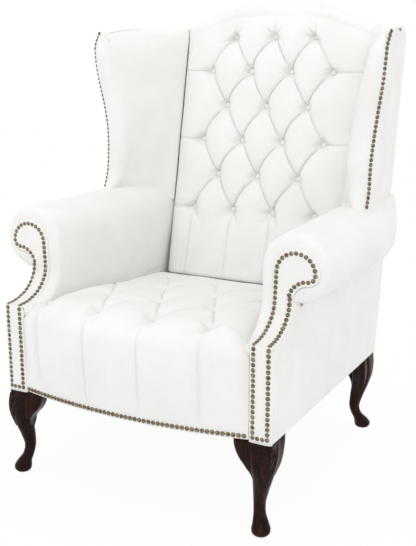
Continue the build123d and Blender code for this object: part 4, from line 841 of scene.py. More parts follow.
def make_seat():
    """The seat as closed profiles side by side: top, crown, border, foot and underside."""
    steps = 26
    column_step = seat_spacing / (2 * steps)
    row_step = seat_pitch / steps
    low, high = seat_shift - 1.5 * seat_spacing, seat_shift + 1.5 * seat_spacing
    inner = low + np.arange(0, 3 * 2 * steps + 1) * column_step
    side = 1 - (1 - np.linspace(0, 1, 21)[1:]) ** 1.6
    short = 1 - (1 - np.linspace(0, 1, 13)[1:]) ** 1.6
    code = np.concatenate([-1 - short[::-1], np.zeros(len(inner)), 1 + side])
    lattice = np.concatenate([np.full(len(short), low), inner, np.full(len(side), high)])

    def across(half):
        """Places across the seat, the outer ones spread out to its edges."""
        left = blend(low, -half, np.clip(-code - 1, 0, 1))
        right = blend(high, half, np.clip(code - 1, 0, 1))
        return np.where(code <= -1, left, np.where(code >= 1, right, lattice))

    last = (seat_rows - 1) * seat_pitch
    rear_w = seat_rear_y - seat_first_row_y
    buttoned = np.arange((seat_rows - 1) * steps, -1, -1) * row_step
    w = np.concatenate([np.linspace(rear_w, last, 22)[:-1], buttoned])[:, None]
    y = seat_first_row_y + w
    half = seat_half(y)
    x = across(half)
    fullness = seat_tuft(x, w + 0 * x, half)
    spots = [(a + seat_shift, b) for a, b in button_places(seat_spacing, seat_pitch, seat_rows)]
    left, folds = dimples(x, w + 0 * x, spots, bowl=0.0150, reach=0.015, depth=0.0014, seed=23)
    rim = np.clip((np.abs(x) / half - seat_flat_share) / seat_rim_share, 0, 1)
    rear = np.clip((w - last) / (rear_w - last), 0, 1)
    edge = np.maximum(rim, rear) ** 2
    uneven = 0.0008 * ripple(x, y, size=0.11, seed=9)
    worn = smooth((w - 0.10) / 0.32)
    rise = (seat_puff * (1 - 0.5 * worn) * fullness * left + folds + uneven) * (1 - edge)
    z = seat_level_z - seat_slope * w + rise - seat_edge_drop * edge
    bend = crease_bend(x - seat_shift, w + 0 * x, seat_spacing, seat_pitch, seat_rows, amount=0.06)
    top = places(x + bend * (1 - edge), y, z)

    # Crown and border: the pleats run over the edge and down
    xb = across(border_half_width)
    border_rim = np.clip((np.abs(xb) / border_half_width - 0.90) / 0.10, 0, 1) ** 3
    lines = fold_lines(xb - seat_shift, seat_spacing, 0.5, pleat_width, flap=0.0095, height=0.0015)
    turns = np.linspace(0, np.pi / 2, 25)[1:, None]
    heights = np.linspace(border_top_z, border_foot_z, 47)[1:]
    heights = np.concatenate([heights, [0.2105, leather_low_z]])[:, None]

    def pleat(away):
        """Fullness beyond the front row, by the distance round the crown and down the border."""
        return seat_tuft(xb, -away * seat_pitch + 0 * xb, border_half_width)

    def border_y(z, away):
        """Fullness dies with the square of the fall, the pleats with its fourth power."""
        fall = np.clip((border_top_z - z) / (border_top_z - border_foot_z), 0, 1)
        groove = 0.0095 * (1 - pleat(away)) * (1 - fall ** 4)
        full = border_full * (1 - fall ** 2) * (1 - border_rim)
        full = full + lines * smooth(away / 0.12) * (1 - fall ** 8)
        uneven = 0.0006 * ripple(xb, z, size=0.12, seed=31) * (1 - fall ** 4)
        return arm_front_y - bow(xb) - full + groove * (1 - border_rim) - uneven

    away = turns * seat_crown_reach / seat_pitch
    crown_end = np.pi / 2 * seat_crown_reach / seat_pitch
    depth = seat_first_row_y - border_y(border_top_z + 0 * turns, crown_end + 0 * turns)
    start = blend(x[-1], xb, np.sin(turns) ** 0.7)
    spots_left, _ = dimples(start, -away * seat_pitch + 0 * start, spots,
                            bowl=0.0150, reach=0.015, depth=0.0, seed=23)
    ends_low = np.clip((np.abs(xb) / border_half_width - seat_flat_share) / seat_rim_share, 0, 1) ** 2
    rise = (seat_level_z - border_top_z) + seat_puff * pleat(away) * spots_left * (1 - ends_low)
    rise -= blend(seat_edge_drop, 0.026, np.sin(turns)) * ends_low
    crown = places(start, seat_first_row_y - depth * np.sin(turns), border_top_z + rise * np.cos(turns))
    down = crown_end + (border_top_z - heights) / seat_pitch
    border = places(xb + 0 * heights, border_y(heights, down), heights)
    wall_y = arm_front_y + 0.013 - bow(xb) - gap
    wall = [places(xb, wall_y, np.full_like(xb, z))[None] for z in (leather_low_z, seat_base_z)]
    under = places(x[0], np.full_like(xb, seat_rear_y), np.full_like(xb, seat_base_z))[None]
    profiles = np.concatenate([top, crown, border] + wall + [under])
    rings = np.swapaxes(profiles, 0, 1)

    def spine(ring):
        """Line inside the stuffing that an end profile shrinks towards."""
        yy = np.maximum(ring[:, 1], arm_front_y + 0.006 - bow(ring[:, 0]))
        core_z = seat_base_z + 0.006
        zz = np.where(ring[:, 1] > seat_first_row_y, core_z, np.minimum(ring[:, 2], core_z))
        return places(ring[:, 0], yy, zz)

    ends = [np.array([blend(rings[e], spine(rings[e]), s) for s in (0.5, 0.98)]) for e in (0, -1)]
    rings = np.concatenate([ends[0][::-1], rings, ends[1]])
    count_v = rings.shape[1]
    mid_x = (rings[:-1, :, 0] + rings[1:, :, 0]) / 2 - seat_shift
    level = np.concatenate([w[:, 0], np.full(count_v - len(w), 0.0)])
    mid_w = (level + np.roll(level, -1)) / 2
    climbs = (np.floor(mid_w[None, :] / seat_pitch) + np.floor(2 * mid_x / seat_spacing)) % 2 == 0
    return tube(rings, climbs)


piece("seat_leather", *make_seat(), white_leather, "leather", ["seat_cover"], fill=0.75)


def seat_button_shell():
    """Domes at the seat's buttons, square to its slope."""
    spots = np.array(button_places(seat_spacing, seat_pitch, seat_rows))
    y = seat_first_row_y + spots[:, 1]
    lift = 0.0022
    centres = places(spots[:, 0] + seat_shift, y, seat_level_z - seat_slope * spots[:, 1] + lift)
    normals = np.tile([0.0, seat_slope, 1.0], (len(spots), 1))
    return dome_shell(centres, normals, button_radius, button_height, sides=20, rings=6, sunk=0.004)


piece("seat_button_domes", *seat_button_shell(), button_leather, "leather", ["seat_buttons"])


# Arms: the post's profile in front, then the facing's outline, then the leather behind it

def front_profile(share, inset=0.0):
    """Depth and height along an arm's front: post, concave sweep, scroll. Also the outward normal.

    share runs 0 to 1 up the post, 1 to 2 round the sweep's quarter ellipse and 2 to 3 up the
    scroll's plane; inset moves the line into the arm.
    """
    run, rise = sweep_run + inset, sweep_rise + inset
    first = np.arcsin(inset / run)
    turn = blend(first, np.pi / 2, np.clip(share - 1, 0, 1))
    y = arm_front_y + run * np.sin(turn)
    z = sweep_top_z - rise * np.cos(turn)
    z = np.where(share < 1, blend(leg_height, sweep_top_z - rise * np.cos(first), np.clip(share, 0, 1)), z)
    y = np.where(share < 1, arm_front_y + inset, y)
    z = np.where(share > 2, z + (share - 2) * 0.133, z)
    ny = np.where(share < 1, -1.0, -np.sin(turn) / run)
    nz = np.where(share < 1, 0.0, np.cos(turn) / rise)
    size = np.hypot(ny, nz)
    return y, z, ny / size, nz / size


def facing_rows():
    """Rows up a facing: place on the front profile, inner x and outer x."""
    post = np.linspace(0, 1, 22)
    sweep = 1 + np.linspace(0, 1, 26)[1:]

    def x_inner(z):
        """The inner edge moves out to the scroll's side between the shoulder and the scroll."""
        share = np.clip((z - shoulder_z) / scroll_side_run, 0, 1)
        return facing_inner_x + (scroll_side_x - facing_inner_x) * share

    rows = []
    for s in np.concatenate([post, sweep]):
        y, z, ny, nz = front_profile(s)
        waist = 0.003 * np.clip((z - shoulder_z) / 0.070, 0, 1)
        outer = body_half_width - waist if s > 1 else body_half_width
        rows.append((y, z, ny, nz, x_inner(z), outer))
    for a in np.linspace(np.arcsin(0.003 / neck_radius), np.pi / 2, 12)[:-1]:
        z = neck_z + neck_radius * np.sin(a)
        rows.append((scroll_y, z, -1, 0, x_inner(z), lobe_x - neck_radius * np.cos(a)))
    for a in np.linspace(-np.pi / 2, 0, 12)[1:-1]:
        z = scroll_z + lobe_radius * np.sin(a)
        rows.append((scroll_y, z, -1, 0, x_inner(z), lobe_x + lobe_radius * np.cos(a)))
    for a in np.linspace(0, np.pi / 2, 20):
        z = scroll_z + scroll_radius * np.sin(a)
        half = scroll_radius * np.cos(a)
        rows.append((scroll_y, z, -1, 0, scroll_x - half, scroll_x + half))
    return np.array(rows, float)


def make_facing():
    """Nailed strip and scroll: a thin slab with a low crown, its edges turned under.

    Across each row, with u from -1 to 1, the surface lies at 1.6 mm times (1 - u^2), less the
    thickness times a quarter round in the last 2.5 mm by each edge.
    """
    rows = facing_rows()
    y, z, ny, nz, left, right = (rows[:, k:k + 1] for k in range(6))
    near_edge = np.array([0.9, 0.95, 0.985, 1])
    u = np.concatenate([-near_edge[::-1], np.linspace(-0.8, 0.8, 13), near_edge])[None, :]
    x = (left + right) / 2 + (right - left) / 2 * u
    dist = (right - left) / 2 * (1 - np.abs(u))
    # Near the scroll's top the edge overhead is nearer than the edges beside
    high = z > scroll_z + 0.03
    overhead = np.sqrt(np.maximum(scroll_z + scroll_radius - z, 0) * scroll_radius)
    top = np.minimum(dist, np.where(high, overhead, 1.0))
    edge = np.clip(top / 0.0025, 0, 1)
    drop = facing_thickness * (1 - np.sqrt(1 - (1 - edge) ** 2))
    crown = 0.0016 * smooth(top / 0.014) + 0.0002 * ripple(x, z + y, size=0.03, seed=3)
    out = crown - drop + 0.0003
    outer = places(x, y + ny * out, z + nz * out)
    inner = places(x, y - ny * facing_thickness, z - nz * facing_thickness)
    return slab(outer, inner)


both_sides("facing_leather", make_facing(), white_leather, "leather", ["arm_facing"])


def arm_section(s, y):
    """Contour of an arm behind its nose, by s: 0-1 up the inner face, 1-2 the inside round, 2-3 the
    top and outer quarter, 3-4 the lower quarter of the roll, 4-5 the turn under it."""
    share = np.clip((y - arm_front_y) / (arm_taper_y - arm_front_y), 0, 1)
    inside = blend(arm_inside_front, arm_inside_rear, share)
    late = np.clip((y - arm_taper_y) / (roll_rear_y - arm_taper_y), 0, 1)
    reach = blend(roll_radius, roll_rear_reach, late)
    t = np.clip(s - 1, 0, 1) * np.pi / 2
    x = inside + arm_round * (1 - np.cos(t))
    z = arm_top_z - arm_round * (1 - np.sin(t))
    t = np.clip(s - 2, 0, 1) * np.pi / 2
    flat = roll_centre_x - (inside + arm_round)
    x = np.where(s > 2, inside + arm_round + flat * np.clip((s - 2) * 8, 0, 1) + reach * np.sin(t), x)
    z = np.where(s > 2, roll_centre_z + roll_radius * np.cos(t), z)
    t = np.clip(s - 3, 0, 1) * np.pi / 2
    x = np.where(s > 3, roll_centre_x + reach * np.cos(t), x)
    z = np.where(s > 3, roll_centre_z - roll_radius * np.sin(t), z)
    x = np.where(s > 4, roll_centre_x - 0.020 * (s - 4), x)
    return x, z


def make_inside_arm():
    """Leather of an arm: from the facing's edge round the nose, then back along the roll.

    Each line of the grid starts on the facing's outline, turns a quarter ellipse about the nose,
    and runs back to the outside back, following the section of the arm at each depth.
    """
    skirt = np.linspace(0, 1, 14)
    sweep = np.linspace(0, 1, 30)[1:]
    upright = np.linspace(0, 1, 12)[1:]
    head = np.linspace(0, 1, 46)[1:]
    lobe = np.linspace(0, 1, 26)[1:]
    under = np.linspace(0, 1, 5)[1:]
    pieces_of_line = []
    nose_turn = np.linspace(0, np.pi / 2, 11)
    inset_y, inset_z, _, _ = front_profile(np.array(1.0), roll_nose)

    def add_line(kind, t, fx, fy, fz, s, sy, sz):
        """One set of lines: its facing place, section parameter, start depth, inner-face height."""
        pieces_of_line.append(np.stack(np.broadcast_arrays(kind, t, fx, fy, fz, s, sy, sz), -1))

    add_line(0, skirt, facing_inner_x, arm_front_y, shoulder_z - 0.001, 0.0, inset_y, inset_z)
    py, pz, _, _ = front_profile(1 + sweep)
    qy, qz, _, _ = front_profile(1 + sweep, roll_nose)
    x_in = facing_inner_x + 0.002 * np.clip((pz - shoulder_z) / scroll_side_run, 0, 1)
    add_line(1, sweep, x_in, py, pz, 0.0, qy, qz)
    fz = blend(sweep_top_z, scroll_z, upright)
    add_line(2, upright, 0.2812 + 0.0008 * upright, scroll_y, fz, 0.0, scroll_y + roll_nose,
             blend(sweep_top_z, arm_top_z - arm_round, upright))
    angle = np.pi * (1 - head)
    fx = scroll_x + scroll_radius * np.cos(angle)
    fz = scroll_z + scroll_radius * np.sin(angle)
    add_line(3, head, fx, scroll_y, fz, 1 + 2 * head, scroll_y + roll_nose, 0)
    a = -np.pi / 2 * np.clip(lobe * 2, 0, 1)
    b = np.pi / 2 * (1 - np.clip(lobe * 2 - 1, 0, 1))
    fx = np.where(lobe < 0.5, lobe_x + lobe_radius * np.cos(a), lobe_x - neck_radius * np.cos(b))
    fz = np.where(lobe < 0.5, scroll_z + lobe_radius * np.sin(a), neck_z + neck_radius * np.sin(b))
    add_line(4, lobe, fx, scroll_y, fz, 3 + lobe, scroll_y + roll_nose, 0)
    add_line(5, under, lobe_x - neck_radius - 0.006 * under, scroll_y, neck_z - 0.002 * under, 4 + under,
             scroll_y + roll_nose, 0)
    kind, t, fx, fy, fz, s, sy, sz = np.concatenate(pieces_of_line).T
    fy = fy + 0.002
    rows = []

    def body(y):
        """The arm's section at a depth, with its inner face running down behind the seat's edge."""
        x, z = arm_section(s, y)
        flat = s <= 0
        z = np.where(flat, sz, z)
        low = blend(0.362, 0.345, smooth((y - arm_front_y - 0.036) / 0.020))
        z = np.where(kind == 0, blend(low, np.maximum(sz, low), t), z)
        return x, z

    start_x, start_z = body(sy)
    folds = 0.0022 * np.abs(np.sin(10.5 * s + 1.3 + 0.8 * np.sin(3 * s))) * (s > 1) * (s < 4.2)
    for turn in nose_turn:
        share_in, share_out = 1 - np.cos(turn), np.sin(turn)
        x = blend(fx, start_x, share_out) if turn < np.pi / 2 else start_x
        z = blend(fz, start_z, share_out)
        y = blend(fy, sy, share_in)
        rows.append(places(x, y, z))
    depth = np.linspace(0, 1, 64)[1:] ** 1.25
    for f in depth:
        end = rear_y(np.where(s > 1, 0.54, sz)) - panel_rear_margin
        y = sy + (end - sy) * f
        x, z = body(y)
        if f > 0.999:
            y = rear_y(z) - panel_rear_margin
        rows.append(places(x, y, z))
    grid = np.array(rows)
    # Soft unevenness and the small gathers behind the scroll, along the local normal
    du = np.gradient(grid, axis=1)
    dv = np.gradient(grid, axis=0)
    normal = np.cross(dv, du)
    normal /= np.maximum(np.linalg.norm(normal, axis=2, keepdims=True), 1e-9)
    if normal[20, 70, 2] < 0:
        normal = -normal
    behind = grid[:, :, 1] - scroll_y
    gathers = -folds[None, :] * smooth(behind / 0.010) * np.exp(-np.maximum(behind, 0) / 0.035)
    uneven = ripple(grid[:, :, 1], grid[:, :, 2] + grid[:, :, 0], size=0.13, seed=17)
    uneven = 0.0009 * uneven * smooth(behind / 0.05)
    puff = 0.003 * np.exp(-((grid[:, :, 2] - 0.50) / 0.06) ** 2) * smooth(behind / 0.08)
    shape = (gathers + uneven * (kind > 0)[None, :] + puff)[..., None]
    grid = grid + normal * shape * np.array([1.0, 0.0, 1.0])
    # Inside of the leather, and the flat end of the roll at the outside back
    middle = places(np.full(grid.shape[1], 0.312), grid[-1, :, 1], np.clip(grid[-1, :, 2], 0.40, 0.545))
    end_rows = [blend(grid[-1], middle, share) for share in (0.04, 0.5, 1.0)]
    end_rows[0][:, 1] += 0.0015
    end_rows[1][:, 1] += 0.0015
    rings = np.concatenate([grid, np.array(end_rows)])
    depth_only = [0, 1, 0]
    foot = np.stack([rings[:, -1] * depth_only + [0.308, 0, 0.40],
                     rings[:, 0] * depth_only + [0.300, 0, 0.37]], 1)
    foot[:, :, 1] = np.maximum(foot[:, :, 1], arm_front_y + 0.012)
    rings = np.concatenate([rings, foot], axis=1)
    return tube(rings, first_centre=(0.312, -0.225, 0.425))


both_sides("arm_leather", make_inside_arm(), white_leather, "leather", ["inside_arm"], fill=0.85)


def panel_shape(u, v, room_u, room_v, full, turned):
    """Fullness of a leather panel: full times the root of both humps, rounded down at the edges."""
    near = np.minimum(np.minimum(u, 1 - u) * room_u, np.minimum(v, 1 - v) * room_v)
    edge = np.clip(near / turned, 0, 1)
    swell = full * np.sqrt(np.clip(hump(u * 0.9999) * hump(v * 0.9999), 0, 1))
    return swell - turned * (1 - np.sqrt(1 - (1 - edge) ** 2))


def spread(count, crowd=0.02):
    """Places from 0 to 1, crowded near both ends."""
    inner = np.linspace(crowd, 1 - crowd, count)
    ends = crowd * np.array([0, 0.08, 0.25, 0.55])
    return np.concatenate([ends, inner, 1 - ends[::-1]])


def make_outside_arm():
    """Panel below the roll: straight lines from the front profile to the leaning rear edge."""
    v = spread(60, crowd=0.012)
    u = spread(44, crowd=0.008)
    height = leg_height + (under_roll_z - leg_height) * v
    run, rise = sweep_run + arm_panel_margin, sweep_rise + arm_panel_margin
    split = 0.62
    first = np.arcsin(arm_panel_margin / run)
    last = np.arccos((sweep_top_z - under_roll_z) / rise)
    low = sweep_top_z - rise * np.cos(first)
    turn = blend(first, last, np.clip((v - split) / (1 - split), 0, 1))
    fy = np.where(v < split, arm_front_y + arm_panel_margin, arm_front_y + run * np.sin(turn))
    fz = np.where(v < split, blend(leg_height, low, v / split), sweep_top_z - rise * np.cos(turn))
    fz[-1] = under_roll_z
    ry, rz = rear_y(height) - arm_panel_margin, height
    y = blend(fy[:, None], ry[:, None], u[None, :])
    z = blend(fz[:, None], rz[:, None], u[None, :] ** 0.8)
    full = panel_shape(u[None, :], v[:, None], room_u=0.65, room_v=0.265, full=0.0035, turned=0.0028)
    uneven = 0.0005 * ripple(y, z, size=0.16, seed=41)
    x = body_half_width + full + uneven * (full > 0)
    outer = places(x, y, z)
    inner = places(np.full_like(x, body_half_width - 0.004), y, z)
    return slab(outer, inner)


both_sides("outside_arm_leather", make_outside_arm(), white_leather, "leather", ["outside_arm"])


# Wings

def wing_lines(z):
    """Nose depth, outer x, nose radius, and the nose's two half widths, at a height of the wing."""
    share = (z - wing_base_z) / wing_height
    setback, outward_share, thick = along_table(wing_shares, share)
    radius = wing_thickness * thick / 2
    total = 2 * radius * along_table(nose_shares, share)[0]
    outer_half = np.minimum(0.6 * total, radius)
    return (wing_nose_y + wing_depth * setback, blend(wing_rear_x, wing_outer_x, outward_share),
            radius, outer_half, total - outer_half)


def wing_outer_at(y, z, nose, outer, radius):
    """Outer face of a wing: straight in plan from the nose's side to the rear corner."""
    share = (y - nose - radius) / (rear_y(z) - nose - radius)
    return blend(outer, wing_rear_x, share)


def make_wing():
    """Stuffed wing as closed plan sections: nose, inner face, lap into the gap, rear, outer face."""
    body = np.linspace(wing_low_z, wing_body_top, 90)
    over = np.linspace(0, np.pi / 2, 15)[1:]
    heights = np.concatenate([body, wing_body_top + wing_crown * np.sin(over)])
    shrink = np.concatenate([np.zeros(len(body)), wing_crown_inset * (1 - np.cos(over))])
    rings = []
    for z, inset in zip(heights, shrink):
        nose, outer, radius, outer_half, inner_half = wing_lines(np.array(max(z, wing_base_z)))
        side = back_half(z) + gap + 0.0015
        lap_y = button_y(z) - 0.012
        end_y = rear_y(z) - 0.005
        cx, cy = outer - outer_half, nose + radius
        turn = np.linspace(0, np.pi, 34)
        halves = np.where(turn < np.pi / 2, outer_half, inner_half)
        arc = np.stack([cx + halves * np.cos(turn), cy - radius * np.sin(turn)], -1)
        u = np.linspace(0, 1, 40)[1:]
        start = np.array([cx - inner_half, cy])
        corner = np.array([side + 0.001, lap_y])
        way = corner - start
        normal = np.array([-way[1], way[0]]) / np.hypot(*way)
        full = -0.004 * hump(u * 0.9999) + 0.0007 * ripple(u * 0.25, z + 0 * u, size=0.12, seed=57)
        full = full * np.minimum(1, (1 - u) * 12)
        inwards = 1 if normal[0] < 0 else -1
        inner = start + way * u[:, None] + normal * full[:, None] * inwards
        roll = np.linspace(0, np.pi / 2, 7)[1:]
        lap = np.stack([side + 0.001 + 0.004 * (1 - np.cos(roll)), lap_y + 0.010 * np.sin(roll)], -1)
        rear = np.array([[side + 0.005, end_y - 0.004], [side + 0.009, end_y],
                         [(side + wing_rear_x) / 2, end_y + 0.001], [wing_rear_x - 0.006, end_y],
                         [wing_rear_x - 0.0015, end_y - 0.004]])
        v = np.linspace(0, 1, 30)[1:-1]
        oy = blend(end_y - 0.004, cy, v)
        skin = 0.0022 * smooth((0.998 - z) / 0.010)
        outer_face = np.stack([wing_outer_at(oy, z, nose, outer, radius) - skin, oy], -1)
        plan = np.concatenate([arc, inner, lap, rear, outer_face])
        spine_x = blend(cx, (side + wing_rear_x) / 2, np.clip((plan[:, 1] - cy) / (end_y - cy), 0, 1))
        spine = np.stack([spine_x, np.clip(plan[:, 1], cy, end_y - 0.013)], -1)
        way = spine - plan
        length = np.maximum(np.hypot(way[:, 0], way[:, 1]), 1e-6)[:, None]
        plan = plan + way / length * np.minimum(inset, length * 0.98)
        dip = 0.007 * smooth((z - 0.80) / 0.2) * (1 - smooth((plan[:, 1] - wing_nose_y) / 0.26))
        rings.append(places(plan[:, 0], plan[:, 1], z - dip))
    return tube(np.array(rings))


both_sides("wing_leather", make_wing(), white_leather, "leather", ["inside_wing"], fill=0.85)


def wing_nail_line(z):
    """Where the nails run: on the nose's outer side, set back from its front. Also the tangent."""
    nose, outer, radius, outer_half, _ = wing_lines(z)
    sine = (radius - wing_nail_set_back) / radius
    cosine = np.sqrt(1 - sine ** 2)
    size = np.hypot(outer_half * sine, radius * cosine)
    return (outer - outer_half + outer_half * cosine, nose + radius - radius * sine,
            outer_half * sine / size, radius * cosine / size)


def make_outside_wing():
    """Panel from just ahead of the nails to the rear corner, following the outer face."""
    v = spread(84, crowd=0.010)
    u = spread(26, crowd=0.02)
    z = blend(0.598, 0.9965, v)[:, None]
    nose, outer, radius, outer_half, _ = (a[:, None] for a in wing_lines(z[:, 0]))
    first = np.arcsin((radius - wing_panel_set_back) / radius)
    turn = first * (1 - np.clip(u[None, :] / 0.12, 0, 1))
    back = np.clip((u[None, :] - 0.12) / 0.88, 0, 1)
    cy = nose + radius
    y = np.where(back > 0, blend(cy, rear_y(z) - panel_rear_margin, back), cy - radius * np.sin(turn))
    round_x = outer - outer_half * (1 - np.cos(turn))
    x = np.where(back > 0, wing_outer_at(y, z, nose, outer, radius), round_x)
    nx = np.where(back > 0, 1.0, np.cos(turn))
    ny = np.where(back > 0, 0.0, -np.sin(turn))
    full = panel_shape(u[None, :], v[:, None], room_u=0.30, room_v=0.40, full=0.0022, turned=0.0022)
    full = full + 0.0004 * ripple(y, z, size=0.12, seed=77)
    outer_grid = places(x + nx * (full + 0.0004), y + ny * (full + 0.0004), z)
    inner_grid = places(x - nx * 0.0030, y - ny * 0.0030, z)
    return slab(outer_grid, inner_grid)


both_sides("outside_wing_leather", make_outside_wing(), white_leather, "leather", ["outside_wing"])


def make_outside_back():
    """Plain panel behind the frame, following the crest and the tops of the wings."""
    u = spread(64, crowd=0.008)[None, :]
    v = spread(84, crowd=0.006)[:, None]
    x = (2 * u - 1) * (body_half_width - 0.0005)
    narrow = back_half(crest_z)
    under_crest = crest_height(x) - crest_stuffing
    top = blend(under_crest, 1.004, smooth((np.abs(x) - narrow + 0.010) / 0.020))
    z = blend(leg_height + 0.0005, top, v)
    full = panel_shape(u, v, room_u=0.66, room_v=0.82, full=0.0045, turned=0.0032)
    full = full + 0.0005 * ripple(x, z, size=0.2, seed=91)
    outer = places(x, rear_y(z) + full, z)
    inner = places(x, rear_y(z) - 0.004 + 0 * x, z)
    return slab(outer, inner)


piece("outside_back_leather", *make_outside_back(), white_leather, "leather", ["outside_back"])


# Nails

def evenly(path, normals, pitch=nail_pitch, closed=False):
    """Places and normals at even distances along a path."""
    steps = np.linalg.norm(np.diff(path, axis=0), axis=1)
    length = np.concatenate([[0], np.cumsum(steps)])
    count = int(round(length[-1] / pitch))
    at = np.linspace(0, length[-1], count + 1)
    if closed:
        at = at[:-1]
    spots = np.stack([np.interp(at, length, path[:, k]) for k in range(3)], -1)
    directions = np.stack([np.interp(at, length, normals[:, k]) for k in range(3)], -1)
    return spots, directions


def facing_nails():
    """Round the facing's edge, a margin inside it, over the shoulder and the sweep."""
    low = (rail_nail_z - leg_height) / (shoulder_z - leg_height)
    share = np.concatenate([np.linspace(low, 1, 30), 1 + np.linspace(0, 1, 60)[1:]])
    y, z, ny, nz = front_profile(share)
    inner = places(np.full_like(y, facing_inner_x + nail_margin), y, z)
    outer = places(np.full_like(y, body_half_width - nail_margin), y, z)
    normal = places(np.zeros_like(y), ny, nz)

    def arc(centre_x, centre_z, radius, turn):
        """Part of a circle in the scroll's plane."""
        return places(centre_x + radius * np.cos(turn), scroll_y, centre_z + radius * np.sin(turn))

    head = arc(scroll_x, scroll_z, scroll_radius - nail_margin, np.pi * (1 - np.linspace(0, 1, 60)))
    lobe = arc(lobe_x, scroll_z, lobe_radius - nail_margin, -np.pi / 2 * np.linspace(0, 1, 24)[1:])
    neck = arc(lobe_x, neck_z, neck_radius + nail_margin,
               np.pi / 2 * (1 + np.linspace(0, 1, 24)[1:-1]))
    neck[:, 2] = np.maximum(neck[:, 2], sweep_top_z)
    front = np.array([0.0, -1.0, 0.0])
    path = np.concatenate([inner, head, lobe, neck, outer[::-1], inner[:1]])
    flat = np.tile(front, (len(head) + len(lobe) + len(neck), 1))
    normals = np.concatenate([normal, flat, normal[::-1], [front]])
    spots, directions = evenly(path, normals, closed=True)
    return spots + directions * 0.0012, directions


def wing_nails():
    """Up the outer side of a wing's nose."""
    z = np.linspace(0.612, 1.000, 400)
    x, y, sine, cosine = wing_nail_line(z)
    path = places(x, y, z)
    along = np.gradient(path, axis=0)
    tangent = places(sine, cosine, np.zeros_like(z))
    normals = np.cross(tangent, along)
    spots, directions = evenly(path, normals)
    directions = directions / np.linalg.norm(directions, axis=1, keepdims=True)
    return spots + directions * 0.0010, directions


def wing_top_nails():
    """Short row behind the first on a wing's top edge; the photo shows it on the right wing only."""
    y = np.linspace(0.250, 0.272, 40)
    nose, outer, radius = (float(a) for a in wing_lines(np.array(1.004))[:3])
    x = wing_outer_at(y, 1.004, nose, outer, radius) - 0.003
    ends = places(x, y, np.full_like(y, 1.0075))
    return evenly(ends, np.tile([0.75, -0.20, 0.62], (40, 1)))


def rail_nails():
    """Along the foot of the front border."""
    x = np.linspace(-rail_nail_half, rail_nail_half, 400)
    path = places(x, arm_front_y - bow(x), np.full_like(x, rail_nail_z))
    slope = 2 * front_bow * x / border_half_width ** 2
    spots, directions = evenly(path, places(slope, -np.ones_like(x), np.zeros_like(x)))
    directions = directions / np.linalg.norm(directions, axis=1, keepdims=True)
    return spots + directions * 0.0004, directions


def nail_shell(spots, directions):
    """Nail heads at places, each along its own direction."""
    return dome_shell(spots, directions, nail_radius, nail_height, sides=10, rings=3, sunk=0.0012)


both_sides("facing_nail_heads", nail_shell(*facing_nails()), brass, "nail", ["facing_nails"])
both_sides("wing_nail_heads", nail_shell(*wing_nails()), brass, "nail", ["wing_nails"])
piece("right_wing_top_nail_heads", *nail_shell(*wing_top_nails()), brass, "nail")
piece("rail_nail_heads", *nail_shell(*rail_nails()), brass, "nail", ["rail_nails"])


# Legs

ear_shares = np.array((
    (0.0, 1.0), (0.12, 0.98), (0.30, 0.84), (0.43, 0.64), (0.52, 0.44), (0.64, 0.24), (0.75, 0.12),
    (0.90, 0.03), (1.0, 0.0),
))


def scroll_lines():
    """Carved lines of a knee, in distance from its middle and height: two scrolls and a leaf."""
    t = np.linspace(0, 1, 90)
    lines = []
    for side in (-1, 1):
        turn = np.pi * (0.35 + 2.6 * t)
        size = 0.0118 * (1 - 0.72 * t)
        lines.append((side * (0.0165 - size * np.cos(turn)), 0.1755 + size * np.sin(turn), 1.0))
        lines.append((side * (0.0250 * (1 - t) ** 1.4 + 0.002), 0.1700 - 0.056 * t, 0.9))
        turn = np.pi * (1.2 - 2.2 * t)
        size = 0.0065 * (1 - 0.6 * t)
        lines.append((side * (0.0120 + size * np.cos(turn)), 0.1420 + size * np.sin(turn), 0.7))
        for k in range(5):
            rise = 0.186 - 0.014 * k
            lines.append((side * (0.0015 + (0.0085 - 0.0012 * k) * t), rise + 0.011 * t - 0.010 * t * t, 0.6))
    lines.append((0.0 * t, 0.190 - 0.080 * t, 1.1))
    return lines


